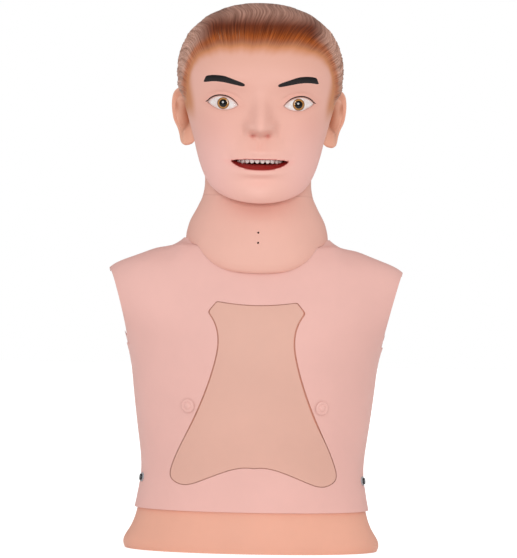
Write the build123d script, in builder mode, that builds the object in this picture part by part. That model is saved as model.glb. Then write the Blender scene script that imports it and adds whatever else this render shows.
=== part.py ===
from build123d import *
from math import atan2, cos, degrees, exp, hypot, pi, radians, sin
import os

# Tracheostomy care model: a head, neck and chest manikin that stands upright on its flat waist end.
# Millimetres. +Z is up, the front faces -Y, and the origin is the centre of the waist end.

# Walls and gaps
skin_wall = 4.0
cover_wall = 3.0
shell_wall = 3.0
liner_wall = 2.5
skin_gap = 0.4
seat_gap = 0.3

# Torso form, level by level: height, half width, depth in front of the axis, depth behind it
torso_levels = [
    (0.0, 141.8, 91.4, 81.4),
    (16.0, 139.0, 90.0, 80.0),
    (32.0, 133.9, 88.5, 78.5),
    (45.0, 128.2, 87.5, 77.5),
    (64.0, 125.2, 87.0, 77.0),
    (90.0, 122.2, 88.0, 78.0),
    (125.0, 126.0, 93.0, 81.0),
    (159.0, 130.5, 97.0, 84.0),
    (200.0, 135.4, 99.5, 87.5),
    (226.0, 141.5, 98.0, 89.5),
    (250.0, 156.0, 94.0, 92.0),
    (275.0, 169.0, 86.5, 91.0),
    (292.0, 171.0, 80.0, 88.0),
    (304.0, 165.0, 76.0, 84.0),
    (313.0, 151.0, 72.5, 80.5),
    (321.0, 133.0, 70.0, 76.0),
    (331.0, 105.0, 66.0, 70.0),
    (340.0, 80.0, 62.5, 65.0),
]
torso_fullness = 0.6
torso_sections = 20

# Cut ends of the arms: a point on the cut, its lean under the shoulder and its turn to the front
arm_cut_out = 150.0
arm_cut_height = 264.5
arm_lean = 14.8
arm_turn = 4.0
arm_recess = 5.0
arm_cut_bottom = 224.0
arm_dish_depth = 6.0
arm_dish_radius = 33.0

# Chest cover
cover_bottom = 45.0
cover_back_edge = 10.0
nipple_out = 73.0
nipple_height = 159.0
nipple_radius = 4.6
nipple_rise = 1.3
stud_height = 78.0
stud_forward = 20.0
stud_radius = 3.4
stud_length = 9.0
stud_rise = 1.6
stud_bore = 1.6
washer_radius = 5.0
washer_wall = 1.2

# Vase-shaped chest plate: half outline from the top middle down to the bottom middle
plate_top_curve = [(0.0, 269.2), (24.0, 270.4), (43.6, 273.0)]
plate_side_curve = [
    (53.4, 261.0),
    (41.9, 228.0),
    (45.4, 206.0),
    (55.9, 172.0),
    (75.3, 126.5),
    (88.6, 95.0),
    (89.6, 80.5),
    (79.0, 73.4),
    (58.9, 77.0),
    (31.6, 88.0),
    (0.0, 92.4),
]
plate_tip_radius = 4.0
plate_gap = 0.8
# Chest window in the shell, inside the plate's edge: half outline from the top middle down
window_corners = [(0.0, 260.0), (37.0, 260.0), (33.0, 229.0), (38.0, 201.0), (66.0, 128.0), (78.0, 100.0),
                  (78.0, 91.0), (60.0, 87.0), (31.0, 98.0), (0.0, 102.0)]
window_round = 3.0
peg_radius = 3.0
peg_gap = 0.3
# Pegs: out from the middle, height, and how far in front of the axis the peg ends
upper_peg = (44.5, 265.0, 74.0)
lower_peg = (84.0, 84.0, 54.0)

# Waist plate
waist_plate_height = 6.0
waist_screw_radius = 2.0
waist_screw_head = 4.0
waist_screw_head_height = 2.4
waist_screw_sink = 3.0
waist_screw_length = 14.0
waist_boss_radius = 6.0
waist_boss_height = 18.0
waist_screw_places = [(127.0, 0.0), (-127.0, 0.0), (0.0, -77.5), (0.0, 67.5)]
screw_gap = 0.1

# Neck post, on its seat in the top of the torso
seat_height = 318.0
seat_floor = 6.0
well_radius = 56.0
well_wall = 4.0
post_radius = 47.0
post_wall = 4.0
post_flange = 5.0
post_top = 382.8
lip_height = 15.0
post_screw_radius = 1.9
post_screw_head = 3.4
post_screw_length = 10.0
post_screw_count = 6
stoma_height = 342.0
stoma_window = 11.0
flange_screw_head_height = 2.2

# Head turntable
spigot_radius = 38.0
spigot_wall = 6.0
running_clearance = 0.08
thrust_gap = 0.2
turntable_flange = 3.0
turntable_height = 10.0
retainer_height = 6.0
retainer_overlap = 4.4
swivel_screw_radius = 1.5
swivel_screw_head = 2.8
swivel_screw_length = 12.0
swivel_screw_count = 4
swivel_screw_head_height = 2.0

# Neck skin, level by level: height, half width, front, back, fullness of the corners
neck_levels = [
    (303.5, 34.0, 78.5, 84.5, 0.85),
    (306.0, 49.0, 80.5, 86.5, 0.85),
    (311.0, 60.5, 82.0, 88.0, 0.82),
    (318.0, 69.5, 82.6, 88.0, 0.78),
    (327.0, 75.4, 82.6, 86.0, 0.72),
    (337.0, 77.8, 81.0, 82.0, 0.66),
    (347.0, 77.4, 78.6, 78.6, 0.60),
    (360.0, 73.8, 74.0, 74.0, 0.5523),
    (373.0, 67.0, 67.0, 67.0, 0.5523),
    (383.0, 62.2, 62.2, 62.2, 0.5523),
    (388.0, 60.6, 60.6, 60.6, 0.5523),
]
neck_sections = 18
neck_rim_gap = 0.6
neck_rim_depth = 14.0
stoma_mark_radius = 1.1
stoma_mark_heights = [336.6, 347.6]

# Head form: height on the axis, half width, front and back. The levels tilt up to the back at the jaw.
head_levels = [
    (417.0, 57.0, 88.0, 60.0),
    (424.0, 62.0, 91.5, 66.0),
    (432.0, 66.0, 94.0, 72.5),
    (442.0, 70.0, 95.5, 80.5),
    (452.0, 73.5, 95.5, 88.0),
    (462.0, 77.5, 95.0, 94.0),
    (472.0, 81.0, 94.5, 99.0),
    (482.0, 84.0, 94.5, 103.0),
    (494.0, 87.0, 96.0, 105.5),
    (508.0, 89.6, 99.0, 107.0),
    (527.0, 90.8, 100.0, 107.0),
    (548.0, 87.4, 95.5, 101.0),
    (564.0, 79.8, 86.5, 91.5),
    (577.0, 69.0, 74.0, 79.5),
    (588.0, 53.8, 57.0, 62.5),
    (595.0, 37.0, 39.0, 43.0),
    (599.0, 20.0, 20.0, 24.0),
    (600.0, 9.0, 9.0, 12.0),
]
jaw_tilt = 24.0
level_height = 500.0
head_sections = 70
head_points = 60
head_squareness = 0.88
face_crowding = 0.5
face_reach = 45.0
face_hollow = 0.5
stub_radius = 56.0
stub_wall = 4.0
stub_bottom = 386.0

# Hairline: turn from the front in degrees, height of the hair's lower edge
hairline = [
    (0.0, 558.0), (20.0, 558.0), (32.0, 556.0), (45.0, 549.0), (57.0, 540.0), (64.0, 522.0), (71.0, 502.0),
    (78.0, 490.0), (86.0, 494.0), (96.0, 510.0), (108.0, 508.0), (119.0, 488.0), (132.0, 464.0),
    (150.0, 452.0), (180.0, 450.0),
]
hair_thickness = 3.4
hair_edge = 7.0
lock_height = 0.9
lock_count = 30
lock_centre_height = 430.0

# Nose: height, how far it stands out, half spread across
nose_profile = [
    (512.0, 0.0, 9.0),
    (500.0, 1.5, 8.5),
    (490.0, 5.5, 8.5),
    (480.0, 12.0, 9.5),
    (470.0, 19.5, 11.0),
    (463.0, 23.5, 12.0),
    (458.0, 21.0, 12.5),
    (453.0, 9.0, 12.5),
    (448.5, 1.5, 11.0),
    (443.0, 0.0, 10.0),
]

# Other face forms, each a smooth mound: out from the middle, height, spread across, spread up, rise
face_forms = [
    (38.0, 512.0, 26.0, 9.0, 2.6),
    (41.0, 490.0, 20.0, 13.0, -8.0),
    (41.5, 490.0, 16.0, 8.5, 5.0),
    (14.5, 460.0, 6.5, 7.0, 7.0),
    (46.0, 463.0, 20.0, 20.0, 3.0),
    (0.0, 428.0, 34.0, 20.0, 4.5),
    (0.0, 434.0, 24.0, 4.5, 2.2),
    (0.0, 411.5, 21.0, 5.0, 3.2),
    (0.0, 402.5, 24.0, 5.0, -2.2),
    (0.0, 389.0, 22.0, 12.0, 5.5),
]

# Openings in the face
eye_inner = (24.5, 488.6)
eye_outer = (58.6, 491.2)
eye_over = (40.5, 498.6)
eye_under = (43.0, 481.6)
eyeball_radius = 18.0
eyeball_centre = (41.0, -63.8, 490.0)
mouth_corner = (31.5, 428.2)
mouth_over = (0.0, 430.2)
mouth_under = (0.0, 416.4)
mouth_bend = (19.5, 419.0)
mouth_corner_radius = 1.6
nostril_out = 8.2
nostril_height = 450.5
nostril_front = -107.0
nostril_radius = 3.2
nostril_depth = 15.0
nostril_lean = 28.0

# Ears: half outline in the ear's own plane, back and up from where its front edge meets the head
ear_origin = (77.0, 2.0, 474.0)
ear_flare = 27.0
ear_outline = [
    (-3.0, -20.0), (3.0, -30.5), (11.0, -30.0), (18.0, -20.0), (28.0, -4.0), (34.0, 14.0), (31.0, 27.0),
    (20.0, 33.0), (7.0, 30.0), (-3.0, 19.0), (-5.0, 0.0),
]
ear_thickness = 7.0
ear_round = 2.2
ear_root_place = (10.0, 3.0)
ear_root_size = (9.0, 17.0)
ear_root_depth = 16.0
concha_outline = [
    (6.0, -12.0), (13.0, -13.0), (20.0, 0.0), (27.0, 13.0), (24.0, 23.0), (15.0, 26.0), (7.0, 20.0),
    (4.0, 4.0),
]
concha_depth = 3.4

# Mouth and throat
mouth_half_width = 36.0
mouth_roof = 442.0
mouth_floor = 403.0
mouth_round = 12.0
throat_radius = 28.0
throat_top = 446.0
throat_flange_radius = 40.0
throat_flange = 3.0
teeth_arch = 23.0
teeth_centre = -61.5
teeth_count = 10
tooth_round = 1.9
teeth_spread = 112.0
gum_back = 7.7
tooth_overlap = 1.0
tooth_depth = 5.0
tooth_tip = 425.2
tooth_scallop = 2.4
tongue_centre = (0.0, -55.0)
# Tongue: height above the mouth floor, half width, half length
tongue_levels = [(0.0, 19.0, 23.0), (4.0, 18.5, 22.5), (7.0, 15.5, 19.0), (9.0, 10.0, 13.0), (9.8, 4.0, 6.0)]

# Airway, gullet and organs
trachea_forward = 15.0
trachea_radius = 10.6
trachea_bore = 7.5
trachea_bottom = 262.0
ring_pitch = 8.0
ring_height = 4.4
ring_rise = 1.2
port_radius = 9.6
port_end = 41.4
larynx_radius = 27.5
larynx_height = 16.0
larynx_gap = 0.5
gullet_back = 15.0
gullet_radius = 7.6
gullet_bore = 5.6
gullet_bottom = 180.0
epiglottis_height = 13.0
epiglottis_half_width = 5.5
epiglottis_wall = 1.8
bronchus_radius = 7.6
bronchus_bore = 5.4
bronchus_end = (34.0, -8.0, 234.0)
carina_height = 252.0
carina_growth = 1.2
tray_front = 42.0
tray_wall = 4.0
tray_bottom = 96.0
tray_top = 300.0
organ_gap = 0.25

# Lungs: height, out from the middle, half width, half depth
lung_levels = [
    (188.0, 57.0, 32.0, 33.0),
    (200.0, 56.0, 34.0, 38.0),
    (222.0, 53.0, 33.0, 38.0),
    (246.0, 48.0, 28.5, 35.0),
    (268.0, 43.0, 22.0, 29.0),
    (284.0, 38.0, 13.5, 20.0),
    (292.0, 35.5, 6.0, 9.0),
]
lung_middle = 5.0

# Stomach: centre of each round section and its radius, from the gullet down to the outlet
stomach_path = [
    ((0.0, 15.0, 180.0), 7.6),
    ((8.0, 10.0, 171.0), 13.0),
    ((23.0, 4.0, 158.0), 22.0),
    ((32.0, 1.0, 138.0), 25.0),
    ((20.0, -2.0, 117.0), 20.0),
    ((-4.0, -3.0, 108.0), 12.0),
    ((-24.0, -2.0, 111.0), 8.0),
]

far = 300.0


def smooth(rows, at):
    """Values between the rows at a place in their first column, along one cubic in each gap"""
    rows = sorted(rows)
    at = min(max(at, rows[0][0]), rows[-1][0])
    last = len(rows) - 1
    low = max(i for i in range(last) if rows[i][0] <= at)

    def slope(i, column):
        before, after = rows[max(i - 1, 0)], rows[min(i + 1, last)]
        return (after[column] - before[column]) / (after[0] - before[0])

    start, end = rows[low], rows[low + 1]
    gap = end[0] - start[0]
    t = (at - start[0]) / gap
    return [
        (2 * t**3 - 3 * t**2 + 1) * start[c]
        + (t**3 - 2 * t**2 + t) * gap * slope(low, c)
        + (3 * t**2 - 2 * t**3) * end[c]
        + (t**3 - t**2) * gap * slope(low + 1, c)
        for c in range(1, len(start))
    ]


def ease(share):
    """Smooth step from 0 to 1"""
    share = min(max(share, 0.0), 1.0)
    return share * share * (3 - 2 * share)


def inset_levels(levels, inset):
    """The same levels, moved in by a wall measured square to the side view of the form"""
    moved = []
    for i, level in enumerate(levels):
        below, above = levels[max(i - 1, 0)], levels[min(i + 1, len(levels) - 1)]
        rise, spread = above[0] - below[0], above[1] - below[1]
        length = (rise**2 + spread**2) ** 0.5
        down = inset * -spread / length if 0 < i else 0.0
        across = inset * rise / length
        moved.append((level[0] - down, level[1] - across, level[2] - inset, level[3] - inset, *level[4:]))
    return moved


def even_levels(levels, count):
    """The same form at levels spaced evenly along its side view"""
    along = [0.0]
    for below, above in zip(levels, levels[1:]):
        along.append(along[-1] + hypot(above[0] - below[0], above[1] - below[1]))
    rows = [(place, *level) for place, level in zip(along, levels)]
    return [tuple(smooth(rows, along[-1] * i / (count - 1))) for i in range(count)]


def round_section(height, half_width, front, back, fullness):
    """One level drawn as four quarter curves"""
    corners = [(half_width, 0), (0, -front), (-half_width, 0), (0, back), (half_width, 0)]
    with BuildSketch(Plane.XY.offset(height)) as section:
        with BuildLine():
            for i, (start, end) in enumerate(zip(corners, corners[1:])):
                if i % 2 == 0:
                    Bezier(start, (start[0], end[1] * fullness), (start[0] * fullness, end[1]), end)
                else:
                    Bezier(start, (end[0] * fullness, start[1]), (end[0], start[1] * fullness), end)
        make_face()
    return section.sketch


def arm_cut(side, recess):
    """Plane of one arm's cut end, facing out"""
    lean, turn = radians(arm_lean), radians(arm_turn)
    facing = (side * cos(lean) * cos(turn), -sin(turn), -sin(lean))
    return Plane(origin=(side * arm_cut_out, 0, arm_cut_height), z_dir=facing).offset(-recess)


def torso_form(inset, arms_recess=None):
    """The torso as one closed form, with its arms cut off where a recess is given"""
    with BuildPart() as form:
        levels = even_levels(torso_levels, torso_sections)
        loft([round_section(*level, torso_fullness) for level in inset_levels(levels, inset)])
        if arms_recess is not None:
            with BuildPart(mode=Mode.SUBTRACT):
                with Locations(arm_cut(1, arms_recess), arm_cut(-1, arms_recess)):
                    Box(far, far, far, align=(Align.CENTER, Align.CENTER, Align.MIN))
                split(bisect_by=Plane.XY.offset(arm_cut_bottom - inset), keep=Keep.TOP)
    return form.part


def grown(points, growth):
    """The same half outline with each point moved out square to the curve, and kept on the middle line"""
    moved = []
    for i, (x, z) in enumerate(points):
        before, after = points[max(i - 1, 0)], points[min(i + 1, len(points) - 1)]
        run, rise = after[0] - before[0], after[1] - before[1]
        length = hypot(run, rise)
        moved.append((x - growth * rise / length if x else x, z + growth * run / length))
    return moved


def plate_outline(growth=0.0):
    """The vase outline in the front plane, grown or shrunk"""
    with BuildSketch(Plane.XZ) as outline:
        with BuildLine():
            top = Spline(*grown(plate_top_curve, growth))
            side = Spline(*grown(plate_side_curve, growth))
            Line(top @ 1, side @ 0)
            mirror(about=Plane.YZ)
        make_face()
        tips = outline.vertices().filter_by(lambda v: v.Y > plate_side_curve[1][1] and abs(v.X) > 1)
        fillet(tips, plate_tip_radius)
    return outline.sketch


def ring(inner, outer, bottom, top):
    """A plain ring about the neck's axis"""
    with BuildPart() as turned:
        with BuildSketch(Plane.XY.offset(bottom)):
            Circle(outer)
            if inner:
                Circle(inner, mode=Mode.SUBTRACT)
        extrude(amount=top - bottom)
    return turned.part


def turned(profile, middle=0.0):
    """A profile of radii and heights, turned about an upright axis this far in front of the neck's"""
    with BuildPart() as part:
        with BuildSketch(Plane.XZ.offset(middle)):
            with BuildLine():
                Polyline(*profile, close=True)
            make_face()
        revolve(axis=Axis((0, -middle, 0), (0, 0, 1)))
    return part.part


def rods(plane, places, radius, length):
    """Round rods out of a plane, for pins, screws and the holes that take them"""
    with BuildPart() as part:
        with BuildSketch(plane):
            with Locations(*places):
                Circle(radius)
        extrude(amount=length)
    return part.part


def stud_rods(radius):
    """Rods through both flanks where the cover's studs sit"""
    with BuildPart() as part:
        with BuildSketch(Plane.YZ):
            with Locations((-stud_forward, stud_height)):
                Circle(radius)
        extrude(amount=far, both=True)
    return part.part


def neck_form(inset):
    """The bell of the neck skin as one closed form"""
    levels = inset_levels(even_levels(neck_levels, neck_sections), inset)
    with BuildPart() as form:
        loft([round_section(*level) for level in levels])
    return form.part


def hair_cover(x, y, z):
    """Share of the hair's thickness at a place on the head, 0 on the face and 1 under the hair"""
    edge = smooth(hairline, degrees(atan2(abs(x), -y)))[0]
    return ease((z - edge) / hair_edge)


def face_rise(x, z):
    """How far the face stands out in front of the plain head form"""
    stand, spread = smooth(nose_profile, z)
    rise = stand * exp(-((x / spread) ** 2))
    for at_x, at_z, across, up, height in face_forms:
        rise += height * exp(-(((abs(x) - at_x) / across) ** 2) - ((z - at_z) / up) ** 2)
    return rise


def level_plane(height):
    """Plane of one head level, which tilts up to the back below the level height"""
    share = ease((level_height - height) / (level_height - head_levels[0][0]))
    tilt = radians(jaw_tilt) * share
    return Plane(origin=(0, 0, height), x_dir=(1, 0, 0), z_dir=(0, -sin(tilt), cos(tilt)))


def head_section(level, inset):
    """One level of the head: a squarish oval with the face and hair worked into it"""
    height, half_width, front, back = level
    plane = level_plane(height)
    tilt_rise, tilt_run = plane.y_dir.Z, plane.y_dir.Y
    points = []
    for i in range(head_points):
        turn = 2 * pi * i / head_points
        turn -= face_crowding * sin(turn)
        wide, deep = sin(turn), -cos(turn)
        x = half_width * abs(wide) ** head_squareness * (1 if wide > 0 else -1)
        reach = front if deep < 0 else back
        y = reach * abs(deep) ** head_squareness * (1 if deep > 0 else -1)
        z = height + y * tilt_rise / tilt_run
        hair = hair_cover(x, y, z)
        locks = lock_height * cos(lock_count * atan2(x, z - lock_centre_height))
        growth = hair * locks - (1 - hair) * hair_thickness
        if inset:
            growth = -hair_thickness
        rise = face_rise(x, z) * ease(-y / face_reach)
        if inset:
            rise = min(rise, 0.0) + face_hollow * max(rise, 0.0)
        size = hypot(x, y)
        x, y = x * (1 + growth / size), y * (1 + growth / size) - rise
        points.append((x, y / tilt_run))
    with BuildSketch(plane) as section:
        with BuildLine():
            add(Edge.make_spline(
                [Vector(*point) for point in points],
                periodic=True,
                parameters=[i / head_points for i in range(head_points + 1)],
            ))
        make_face()
    return section.sketch


def head_form(inset=0.0):
    """The head without ears as one closed form"""
    levels = inset_levels(even_levels(head_levels, head_sections), inset)
    floor = head_levels[0][0] + inset
    with BuildPart() as form:
        loft([head_section(level, inset) for level in levels if level[0] >= floor])
    return form.part


with BuildSketch(Plane.XZ) as window_sketch:
    with BuildLine():
        Polyline(*window_corners)
        mirror(about=Plane.YZ)
    make_face()
    fillet(window_sketch.vertices().filter_by(lambda v: abs(v.X) > window_round), window_round)
chest_window = window_sketch.sketch


# Sizes that follow from the ones above
shell_inset = cover_wall + skin_gap
cavity_inset = shell_inset + shell_wall
flange_radius = well_radius - seat_gap
post_bore = post_radius - post_wall
lip_bore = spigot_radius + running_clearance
turntable_bottom = post_top + thrust_gap
turntable_top = stub_bottom + turntable_height
lip_bottom = post_top - lip_height
retainer_top = lip_bottom - thrust_gap
spigot_bore = spigot_radius - spigot_wall
larynx_top = turntable_top - larynx_gap
peg_places = [(side * x, z) for x, z, _ in (upper_peg, lower_peg) for side in (1, -1)]
post_screw_circle = (flange_radius + post_radius) / 2
swivel_screw_circle = (spigot_radius + spigot_bore) / 2


def on_circle(radius, count):
    """Places spaced evenly on a circle"""
    turns = [2 * pi * (i + 0.5) / count for i in range(count)]
    return [(radius * cos(turn), radius * sin(turn)) for turn in turns]


post_screw_places = on_circle(post_screw_circle, post_screw_count)
swivel_screw_places = on_circle(swivel_screw_circle, swivel_screw_count)
ear_plane = Plane(
    origin=ear_origin,
    x_dir=(sin(radians(ear_flare)), cos(radians(ear_flare)), 0),
    z_dir=(cos(radians(ear_flare)), -sin(radians(ear_flare)), 0),
)

with BuildSketch(Plane.XZ) as eye_sketch:
    with BuildLine():
        ThreePointArc(eye_inner, eye_over, eye_outer)
        ThreePointArc(eye_outer, eye_under, eye_inner)
    make_face()
    mirror(about=Plane.YZ)
eye_openings = eye_sketch.sketch

with BuildSketch(Plane.XZ) as mouth_sketch:
    with BuildLine():
        far_corner = (-mouth_corner[0], mouth_corner[1])
        ThreePointArc(far_corner, mouth_over, mouth_corner)
        Spline(mouth_corner, mouth_bend, mouth_under, (-mouth_bend[0], mouth_bend[1]), far_corner)
    make_face()
    fillet(mouth_sketch.vertices(), mouth_corner_radius)
mouth_opening = mouth_sketch.sketch

os.makedirs("parts", exist_ok=True)


# Torso shell, with its screw bosses, post well, dished arm ends and chest window
with BuildPart() as cavity:
    add(torso_form(cavity_inset, arm_recess + arm_dish_depth + shell_wall))
    add(ring(0, well_radius + well_wall, seat_height - seat_floor, far + far), mode=Mode.SUBTRACT)
    boss_base = Plane.XY.offset(waist_plate_height + seat_gap)
    add(rods(boss_base, waist_screw_places, waist_boss_radius, waist_boss_height), mode=Mode.SUBTRACT)

with BuildPart() as body_shell:
    add(torso_form(shell_inset, arm_recess))
    add(cavity.part, mode=Mode.SUBTRACT)
    add(ring(0, well_radius, seat_height, far + far), mode=Mode.SUBTRACT)
    add(ring(0, post_bore, seat_height - 2 * seat_floor, far + far), mode=Mode.SUBTRACT)
    dish_ball = (arm_dish_radius**2 + arm_dish_depth**2) / (2 * arm_dish_depth)
    for side in (1, -1):
        with Locations(arm_cut(side, arm_recess).offset(dish_ball - arm_dish_depth)):
            Sphere(dish_ball, mode=Mode.SUBTRACT)
    add(extrude(chest_window, amount=far), mode=Mode.SUBTRACT)
    add(rods(Plane.XZ, peg_places, peg_radius + peg_gap, far), mode=Mode.SUBTRACT)
    waist_bore = waist_screw_radius + screw_gap
    add(rods(Plane.XY, waist_screw_places, waist_bore, waist_boss_height), mode=Mode.SUBTRACT)
    post_screw_bore = post_screw_radius + screw_gap
    seat_top = Plane.XY.offset(seat_height)
    add(rods(seat_top, post_screw_places, post_screw_bore, -seat_floor), mode=Mode.SUBTRACT)
    add(stud_rods(stud_bore + screw_gap), mode=Mode.SUBTRACT)
body_shell.part.label = "body_shell"
export_step(body_shell.part, "parts/body_shell.step")

# Waist plate, closed from below and flat to stand on
with BuildPart() as waist_plate:
    add(torso_form(cavity_inset + seat_gap))
    split(bisect_by=Plane.XY.offset(waist_plate_height), keep=Keep.BOTTOM)
    add(rods(Plane.XY, waist_screw_places, waist_bore, far), mode=Mode.SUBTRACT)
    sink_radius = waist_screw_head + seat_gap
    add(rods(Plane.XY, waist_screw_places, sink_radius, waist_screw_sink), mode=Mode.SUBTRACT)
waist_plate.part.label = "waist_plate"
export_step(waist_plate.part, "parts/waist_plate.step")

with BuildPart() as waist_plate_screws:
    head_base = Plane.XY.offset(waist_screw_sink)
    add(rods(head_base, waist_screw_places, waist_screw_head, -waist_screw_head_height))
    add(rods(head_base, waist_screw_places, waist_screw_radius, waist_screw_length))
waist_plate_screws.part.label = "waist_plate_screws"
export_step(waist_plate_screws.part, "parts/waist_plate_screws.step")

# Chest cover: front and shoulders, open at the arms, the neck and the plate
outer_form = torso_form(0.0)
under_cover = torso_form(cover_wall)
with BuildPart() as chest_cover:
    add(torso_form(0.0, 0.0))
    add(under_cover, mode=Mode.SUBTRACT)
    split(bisect_by=Plane.XY.offset(cover_bottom), keep=Keep.TOP)
    split(bisect_by=Plane.XZ.offset(-cover_back_edge), keep=Keep.TOP)
    add(ring(0, well_radius + seat_gap, seat_height, far + far), mode=Mode.SUBTRACT)
    add(extrude(plate_outline(), amount=far), mode=Mode.SUBTRACT)
    with BuildPart(mode=Mode.PRIVATE) as nipples:
        add(rods(Plane.XZ, [(nipple_out, nipple_height), (-nipple_out, nipple_height)], nipple_radius, far))
        add(torso_form(-nipple_rise), mode=Mode.INTERSECT)
        add(under_cover, mode=Mode.SUBTRACT)
    add(nipples.part)
    add(stud_rods(stud_bore + screw_gap), mode=Mode.SUBTRACT)
chest_cover.part.label = "chest_cover"
export_step(chest_cover.part, "parts/chest_cover.step")

# Studs on the flanks that hold the cover, over soft washers
washer_top = torso_form(-washer_wall)
with BuildPart() as cover_stud_washers:
    add(stud_rods(washer_radius))
    add(washer_top, mode=Mode.INTERSECT)
    add(outer_form, mode=Mode.SUBTRACT)
    add(stud_rods(stud_bore + screw_gap), mode=Mode.SUBTRACT)
cover_stud_washers.part.label = "cover_stud_washers"
export_step(cover_stud_washers.part, "parts/cover_stud_washers.step")

with BuildPart() as cover_studs:
    add(stud_rods(stud_radius))
    add(torso_form(-washer_wall - stud_rise), mode=Mode.INTERSECT)
    add(washer_top, mode=Mode.SUBTRACT)
    with BuildPart(mode=Mode.PRIVATE) as shanks:
        add(stud_rods(stud_bore))
        add(washer_top, mode=Mode.INTERSECT)
        add(torso_form(stud_length), mode=Mode.SUBTRACT)
    add(shanks.part)
cover_studs.part.label = "cover_studs"
export_step(cover_studs.part, "parts/cover_studs.step")

# Vase-shaped plate with pegs that press into the shell's ledge
with BuildPart() as chest_plate:
    add(extrude(plate_outline(-plate_gap), amount=far))
    add(outer_form, mode=Mode.INTERSECT)
    add(under_cover, mode=Mode.SUBTRACT)
    with BuildPart(mode=Mode.PRIVATE) as pegs:
        for x, z, end in (upper_peg, lower_peg):
            add(rods(Plane.XZ.offset(end), [(x, z), (-x, z)], peg_radius, far))
        add(torso_form(cover_wall / 2), mode=Mode.INTERSECT)
    add(pegs.part)
chest_plate.part.label = "chest_plate"
export_step(chest_plate.part, "parts/chest_plate.step")

# Neck post: flanged column with the stoma window and the lip that carries the head
with BuildPart() as neck_post:
    add(turned([
        (post_bore, seat_height),
        (flange_radius, seat_height),
        (flange_radius, seat_height + post_flange),
        (post_radius, seat_height + post_flange),
        (post_radius, post_top),
        (lip_bore, post_top),
        (lip_bore, lip_bottom),
        (post_bore, lip_bottom),
    ]))
    add(rods(Plane.XZ, [(0, stoma_height)], stoma_window, far), mode=Mode.SUBTRACT)
    add(rods(seat_top, post_screw_places, post_screw_bore, far), mode=Mode.SUBTRACT)
neck_post.part.label = "neck_post"
export_step(neck_post.part, "parts/neck_post.step")

with BuildPart() as neck_post_screws:
    flange_top = Plane.XY.offset(seat_height + post_flange)
    add(rods(flange_top, post_screw_places, post_screw_head, flange_screw_head_height))
    add(rods(flange_top, post_screw_places, post_screw_radius, -post_screw_length))
neck_post_screws.part.label = "neck_post_screws"
export_step(neck_post_screws.part, "parts/neck_post_screws.step")

# Neck skin: a bell that lies on the cover in front and on the shell behind
with BuildPart() as neck_skin:
    add(neck_form(0.0))
    add(neck_form(skin_wall), mode=Mode.SUBTRACT)
    rim_top = neck_levels[-1][0]
    rim_bore = stub_radius + neck_rim_gap
    add(ring(0, rim_bore, rim_top - neck_rim_depth, rim_top + skin_wall), mode=Mode.SUBTRACT)
    with BuildPart(mode=Mode.PRIVATE) as cover_space:
        add(torso_form(-skin_gap))
        split(bisect_by=Plane.XZ.offset(-cover_back_edge - skin_gap), keep=Keep.TOP)
    add(cover_space.part, mode=Mode.SUBTRACT)
    add(torso_form(shell_inset - skin_gap), mode=Mode.SUBTRACT)
    marks = [(0, height) for height in stoma_mark_heights]
    add(rods(Plane.XZ, marks, stoma_mark_radius, far), mode=Mode.SUBTRACT)
neck_skin.part.label = "neck_skin"
export_step(neck_skin.part, "parts/neck_skin.step")

# Turntable under the head, its spigot in the post and the ring that hooks under the post's lip
with BuildPart() as swivel_plate:
    add(turned([
        (spigot_bore, retainer_top),
        (spigot_radius, retainer_top),
        (spigot_radius, turntable_bottom),
        (stub_radius - seat_gap, turntable_bottom),
        (stub_radius - seat_gap, stub_bottom),
        (stub_radius - stub_wall - seat_gap, stub_bottom),
        (stub_radius - stub_wall - seat_gap, turntable_top),
        (spigot_bore, turntable_top),
    ]))
    screw_base = Plane.XY.offset(retainer_top)
    swivel_bore = swivel_screw_radius + screw_gap
    add(rods(screw_base, swivel_screw_places, swivel_bore, swivel_screw_length), mode=Mode.SUBTRACT)
swivel_plate.part.label = "swivel_plate"
export_step(swivel_plate.part, "parts/swivel_plate.step")

with BuildPart() as swivel_retainer:
    add(ring(spigot_bore, spigot_radius + retainer_overlap, retainer_top - retainer_height, retainer_top))
    add(rods(screw_base, swivel_screw_places, swivel_bore, -far), mode=Mode.SUBTRACT)
swivel_retainer.part.label = "swivel_retainer"
export_step(swivel_retainer.part, "parts/swivel_retainer.step")

with BuildPart() as swivel_screws:
    head_top = Plane.XY.offset(retainer_top - retainer_height)
    add(rods(head_top, swivel_screw_places, swivel_screw_head, -swivel_screw_head_height))
    add(rods(head_top, swivel_screw_places, swivel_screw_radius, swivel_screw_length))
swivel_screws.part.label = "swivel_screws"
export_step(swivel_screws.part, "parts/swivel_screws.step")

# Head moulding: face, hair and ears in one soft wall, and the stub that turns in the neck skin
with BuildPart() as ear:
    with BuildSketch(ear_plane):
        with BuildLine():
            Spline(*ear_outline, periodic=True)
        make_face()
    extrude(amount=ear_thickness / 2, both=True)
    fillet(ear.edges(), ear_round)
    with BuildSketch(ear_plane.offset(ear_thickness / 2)):
        with BuildLine():
            Spline(*concha_outline, periodic=True)
        make_face()
    extrude(amount=-concha_depth, mode=Mode.SUBTRACT)
    with BuildSketch(ear_plane):
        with Locations(ear_root_place):
            Ellipse(*ear_root_size)
    extrude(amount=-ear_root_depth)

with BuildPart() as eyeballs:
    for side in (1, -1):
        with Locations((side * eyeball_centre[0], *eyeball_centre[1:])):
            Sphere(eyeball_radius + seat_gap)

with BuildPart() as stub:
    add(ring(stub_radius - stub_wall, stub_radius, stub_bottom, throat_top))
    split(bisect_by=level_plane(head_levels[0][0] + skin_wall), keep=Keep.BOTTOM)

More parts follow.
